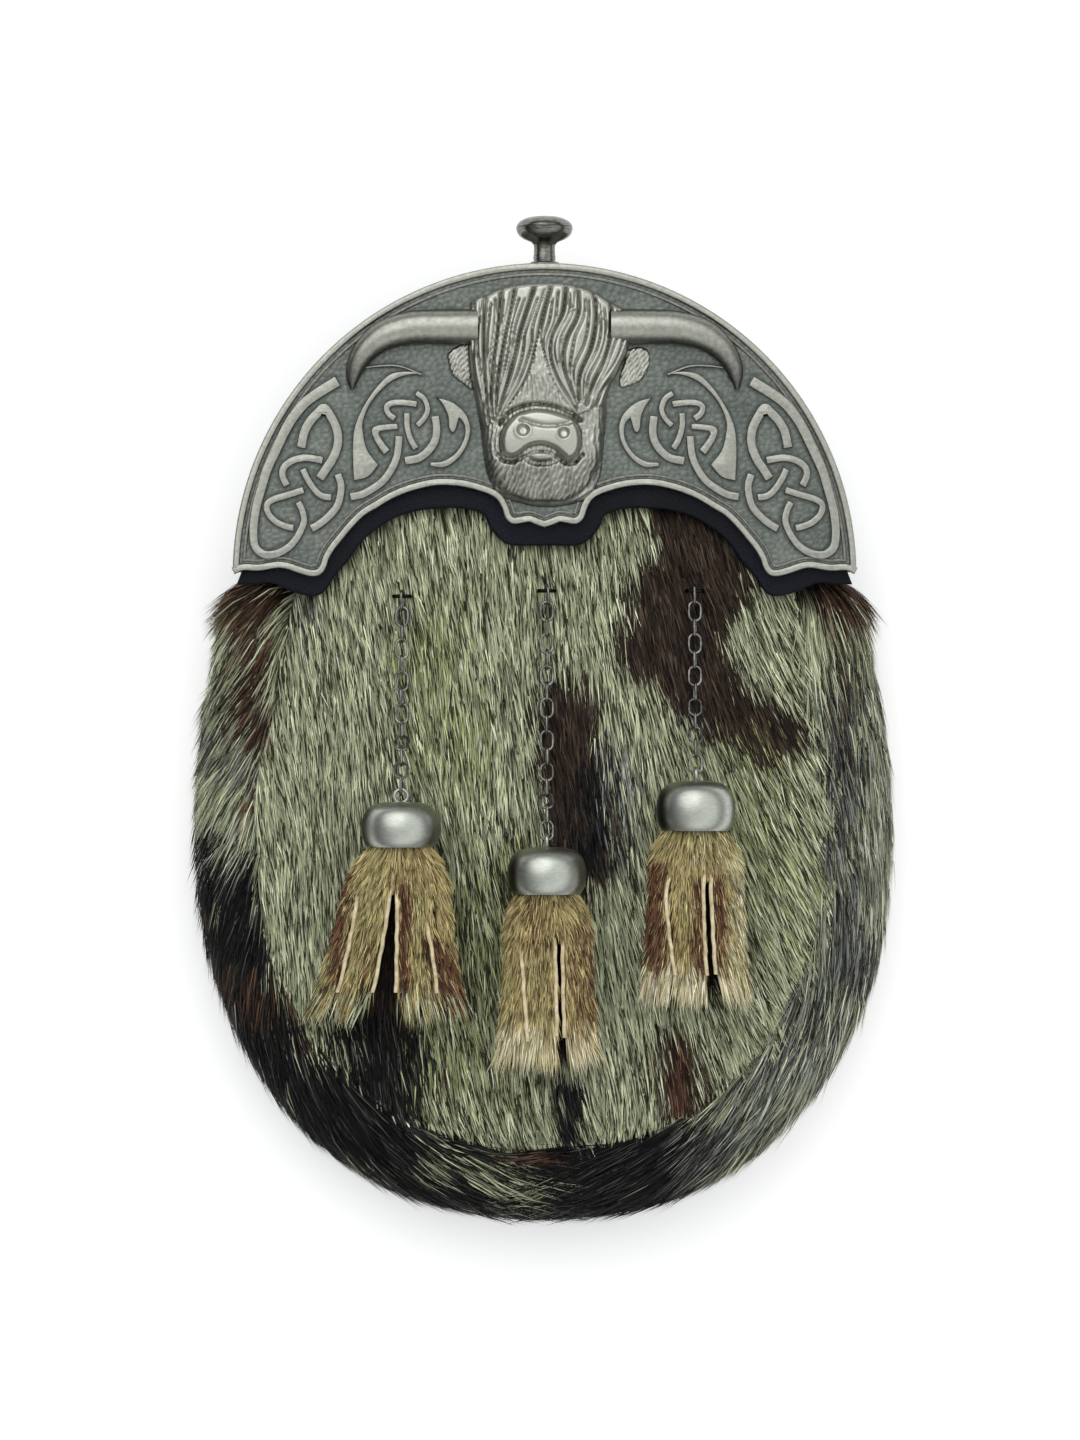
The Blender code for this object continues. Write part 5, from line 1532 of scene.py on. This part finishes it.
TASSEL_PATCHES = (
    ((352, 876), (333, 985), 7, 5, "rust", 0.9),
    ((336, 880), (318, 985), 8, 6, "green", 0.5),
    ((378, 850), (362, 990), 15, 9, "straw", 0.9),
    ((371, 945), (366, 992), 5, 4, "rust", 0.6),
    ((404, 888), (404, 992), 6, 4, "rust", 0.95),
    ((421, 880), (424, 1000), 9, 6, "straw", 0.9),
    ((440, 950), (455, 1000), 14, 8, "rust", 0.85),
    ((442, 880), (452, 940), 9, 8, "gold", 0.9),
    ((370, 998), (392, 1002), 10, 6, "dark", 0.8),
    ((508, 930), (506, 1020), 9, 8, "straw", 0.6),
    ((538, 910), (544, 960), 13, 9, "rust", 0.4),
    ((538, 960), (543, 1030), 12, 9, "straw", 0.7),
    ((588, 930), (592, 1010), 8, 7, "rust", 0.6),
    ((574, 930), (576, 1030), 7, 6, "rust", 0.4),
    ((515, 1050), (590, 1055), 24, 14, "cream", 0.8),
    ((655, 872), (655, 975), 12, 6, "rust", 0.9),
    ((643, 850), (640, 980), 6, 5, "green", 0.5),
    ((686, 880), (688, 960), 9, 8, "straw", 0.6),
    ((697, 880), (699, 972), 6, 5, "rust", 0.85),
    ((717, 880), (720, 975), 7, 5, "rust", 0.9),
    ((735, 860), (738, 980), 9, 6, "straw", 0.85),
    ((650, 1000), (750, 1005), 28, 12, "cream", 1.0),
    ((690, 835), (735, 850), 14, 10, "cream", 0.7),
    ((735, 860), (738, 960), 8, 6, "cream", 0.5),
    ((325, 1005), (455, 1010), 12, 10, "sage", 0.6),
    ((655, 835), (735, 838), 22, 8, "straw", 0.85),
)


class TasselForm:
    """The rounded outer surface of a tassel, over places of the front view."""

    def __init__(self, side):
        x, _, _, cap_z = cap_sizes(side)
        low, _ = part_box(f"tassel_{side}")
        first, last, strips = STRIPS[side]
        self.span = (first - 8, last)
        self.cap_x = x / UNIT + VIEW_AXIS_X
        front = [strip for strip in strips if not strip[4]]
        ends = [(min(s[i] for s in front), max(s[i + 1] for s in front)) for i in (0, 2)]
        self.middles = tuple(sum(pair) / 2 for pair in ends)
        self.halves = tuple(0.53 * (high - low) for low, high in ends)
        self.levels = (cap_z, low.z + 4.4 * MM)
        self.bulges = (6.6 * MM, 4.2 * MM)

    def pinch(self, along):
        return 1 - (1 - GATHERED) * np.clip(1 - along / PARTING, 0, 1) ** 1.5

    def line(self, start, end, along):
        """View x of a line down the tassel that passes start at the parting and ends at end."""
        x = start + (end - start) * (along - PARTING) / (1 - PARTING)
        return self.cap_x + (x - self.cap_x) * self.pinch(along)

    def place(self, view_x, along, behind):
        middle = self.line(*self.middles, along)
        half = (self.halves[0] + (self.halves[1] - self.halves[0]) * along) * self.pinch(along)
        sag = along**0.7
        level = self.levels[0] + (self.levels[1] - self.levels[0]) * sag
        bulge = self.bulges[0] + (self.bulges[1] - self.bulges[0]) * sag
        arch = np.sqrt(np.clip(1 - ((view_x - middle) / half) ** 2, 0.03, 1))
        x, y = from_view(view_x, self.span[0] + (self.span[1] - self.span[0]) * along)
        return np.column_stack([x, y, level + np.where(behind, -0.6, 1) * bulge * arch])

    def share(self, view_y):
        return (view_y - self.span[0]) / (self.span[1] - self.span[0])

    def strip(self, row, across, along):
        """Places on a strip with their normals and the direction down the strip."""
        def place(u, s):
            left, right = self.line(row[0], row[2], s), self.line(row[1], row[3], s)
            return self.place(left + (right - left) * u, s, row[4])

        step = 0.01
        here = place(across, along)
        down = unit(place(across, along + step) - here)
        side = unit(place(across + step, along) - here)
        normal = unit(np.cross(down, side))
        normal *= np.where(normal[:, 2:3] < 0, -1, 1)
        return here, normal, down


def strip_mesh(form, row, name):
    """The hide: a thin closed sheet."""
    columns = np.linspace(0, 1, 10)
    rows = np.linspace(0, 1, 24)
    across, along = np.meshgrid(columns, rows)
    here, normal, _ = form.strip(row, across.ravel(), along.ravel())
    bm = bmesh.new()
    count = len(columns)
    sheets = [[bm.verts.new(point) for point in sheet] for sheet in (here, here - normal * STRIP_THICKNESS)]
    for line in range(len(rows) - 1):
        for i in range(count - 1):
            k = line * count + i
            corners = (k, k + 1, k + count + 1, k + count)
            bm.faces.new([sheets[0][corner] for corner in corners])
            bm.faces.new([sheets[1][corner] for corner in corners[::-1]])
    left = [line * count for line in range(len(rows))]
    last = (len(rows) - 1) * count
    borders = (left, [k + count - 1 for k in left], range(count), range(last, last + count))
    for border in borders:
        for a, b in zip(border, list(border)[1:]):
            bm.faces.new([sheets[0][a], sheets[0][b], sheets[1][b], sheets[1][a]])
    bmesh.ops.recalc_face_normals(bm, faces=bm.faces)
    return object_of(bm, name, "fur", 40)


def cut_edge(form, points, name):
    """The bare edge of a strip, which stands a little proud of its fur."""
    line = evenly(smooth_line(points, 6), 4)
    along = form.share(line[:, 1])
    places = form.place(line[:, 0], along, 0)
    places[:, 2] += CUT_EDGE_LIFT * np.clip(np.linspace(0, 5, len(line)), 0, 1)
    places[:, 0] += 0.12 * MM * waves(places[:, 1], places[:, 1], 7 * MM, 61)
    half = CUT_EDGE_WIDTH / 2
    depth = STRIP_THICKNESS + CUT_EDGE_LIFT
    shoulder = 0.2 * MM
    left = np.array(((-1, 0, -depth), (-1, 0, -shoulder), (-0.6, 0, 0)))
    corners = np.vstack([left, left[::-1] * (-1, 1, 1)])
    points, faces = swept(list(places), [corners * (half, 1, 1)] * len(places))
    return link_object(name, clean(mesh_from(name, points, faces)), "hide", 60)


def tassel_roots(form, row, count, last):
    """Hair roots on a strip down to last: place, normal, flow, whether behind, and share of length."""
    across = RANDOM.uniform(0, 1, count)
    along = RANDOM.uniform(0.04, 1, count) ** 0.9 * last
    here, normal, down = form.strip(row, across, along)
    middle = from_view(form.line(*form.middles, along), 0)[0]
    aside = 0.28 * (here[:, 0] - middle) / (form.halves[1] * UNIT)
    aside += 0.12 * waves(here[:, 0], here[:, 1], 8 * MM, 51)
    flow = flow_on(normal, unit(down + aside[:, None] * np.array((1, 0, 0))))
    longer = np.interp(along, (0, 0.3, 0.85, 1), (0.75, 0.65, 0.8, 1.5))
    return here, normal, flow, np.full(count, row[4]), longer


def tassel(side):
    """Strips of hide with their fur and their bare edges."""
    form = TasselForm(side)
    rows = STRIPS[side][2]
    share = TASSEL_HAIRS // (len(rows) + 1)
    front = [row for row in rows if not row[4]]
    gathered = (front[0][0], front[-1][1], front[0][2], front[-1][3], 0)
    roots = [tassel_roots(form, row, share, 1) for row in rows]
    roots.append(tassel_roots(form, gathered, share, PARTING))
    here, normal, flow, behind, longer = (np.concatenate(parts) for parts in zip(*roots))
    length = RANDOM.uniform(*TASSEL_LENGTHS, len(here)) * MM * longer
    width = RANDOM.uniform(*TASSEL_WIDTHS, len(here)) * MM
    coat = coat_along(here, flow, length, "gold", TASSEL_PATCHES, 2)
    # The strips behind the others take the dark coat: painted shade
    coat[behind == 1] = COAT_NAMES.index("dark")
    colour = coat_colours(coat)
    hair = hair_mesh(f"tassel_hair_{side}", here, normal, flow, length, width, TASSEL_RISES, colour, 7)
    keep(hair, "tan_fur", f"tassel_{side}")
    hide = joined(f"tassel_hide_{side}", [strip_mesh(form, row, "strip") for row in rows])
    points = vertex_array(hide.data)
    under = coat_of(*to_view(points[:, 0], points[:, 1]), "gold", TASSEL_PATCHES, 2)
    write_colours(hide.data, coat_colours(under) * HIDE_SHADE)
    keep(hide, "tan_fur", f"tassel_{side}")
    edges = joined(f"tassel_edges_{side}", [cut_edge(form, points, "edge") for points in CUT_EDGES[side]])
    keep(edges, "tan_fur", f"tassel_{side}")


# Stage


def camera():
    data = bpy.data.cameras.new("camera")
    data.sensor_fit = "VERTICAL"
    data.sensor_height = SENSOR
    data.lens = SENSOR * (CAMERA_HEIGHT - FOCUS_HEIGHT) / (VIEW_SIZE[1] * UNIT)
    made = bpy.data.objects.new("camera", data)
    bpy.context.scene.collection.objects.link(made)
    x, y = from_view(VIEW_SIZE[0] / 2, VIEW_SIZE[1] / 2)
    made.location = (x, y, CAMERA_HEIGHT)
    bpy.context.scene.camera = made


def key_light():
    data = bpy.data.lights.new("key", "AREA")
    data.shape = "DISK"
    data.size = KEY_SIZE
    data.energy = KEY_POWER
    made = bpy.data.objects.new("key", data)
    bpy.context.scene.collection.objects.link(made)
    made.location = KEY_PLACE
    aim = Vector(KEY_TARGET) - Vector(KEY_PLACE)
    made.rotation_euler = aim.to_track_quat("-Z", "Y").to_euler()


def pale_world():
    """Light from all round, brighter from the front and from the right."""
    world = bpy.data.worlds.new("pale")
    bpy.context.scene.world = world
    world.use_nodes = True
    tree = world.node_tree
    place = add_node(tree, "ShaderNodeTexCoord")
    split = add_node(tree, "ShaderNodeSeparateXYZ", {"Vector": place.outputs["Generated"]})
    glow = ramp(tree, split.outputs["Z"], SKY)
    aside = math_node(tree, "MULTIPLY_ADD", split.outputs["X"], 0.5)
    aside.node.inputs[2].default_value = 0.5
    shade = ramp(tree, aside, SKY_ASIDE)
    sky = tree.nodes["Background"]
    tree.links.new(glow, sky.inputs["Color"])
    tree.links.new(math_node(tree, "MULTIPLY", shade, WORLD_LIGHT), sky.inputs["Strength"])


def stage():
    """Pale floor, soft light from the upper left, and a pale world."""
    bpy.ops.mesh.primitive_plane_add(size=FLOOR_SIZE, location=(0, 0, FLOOR_Z))
    floor = bpy.context.active_object
    floor.name = "floor"
    look, _, shader = new_look("pale_floor", 0.9)
    shader.inputs["Base Color"].default_value = FLOOR_PALE
    shader.inputs["Emission Strength"].default_value = FLOOR_GLOW
    floor.data.materials.append(look)
    key_light()
    pale_world()
    bpy.context.scene.view_settings.view_transform = "Standard"


stage()
camera()
front_fur()
band_fur()
cantle()
knob()
leather()
for side in SIDES:
    chain(side)
    cap(side)
    tassel(side)
    staple(side)
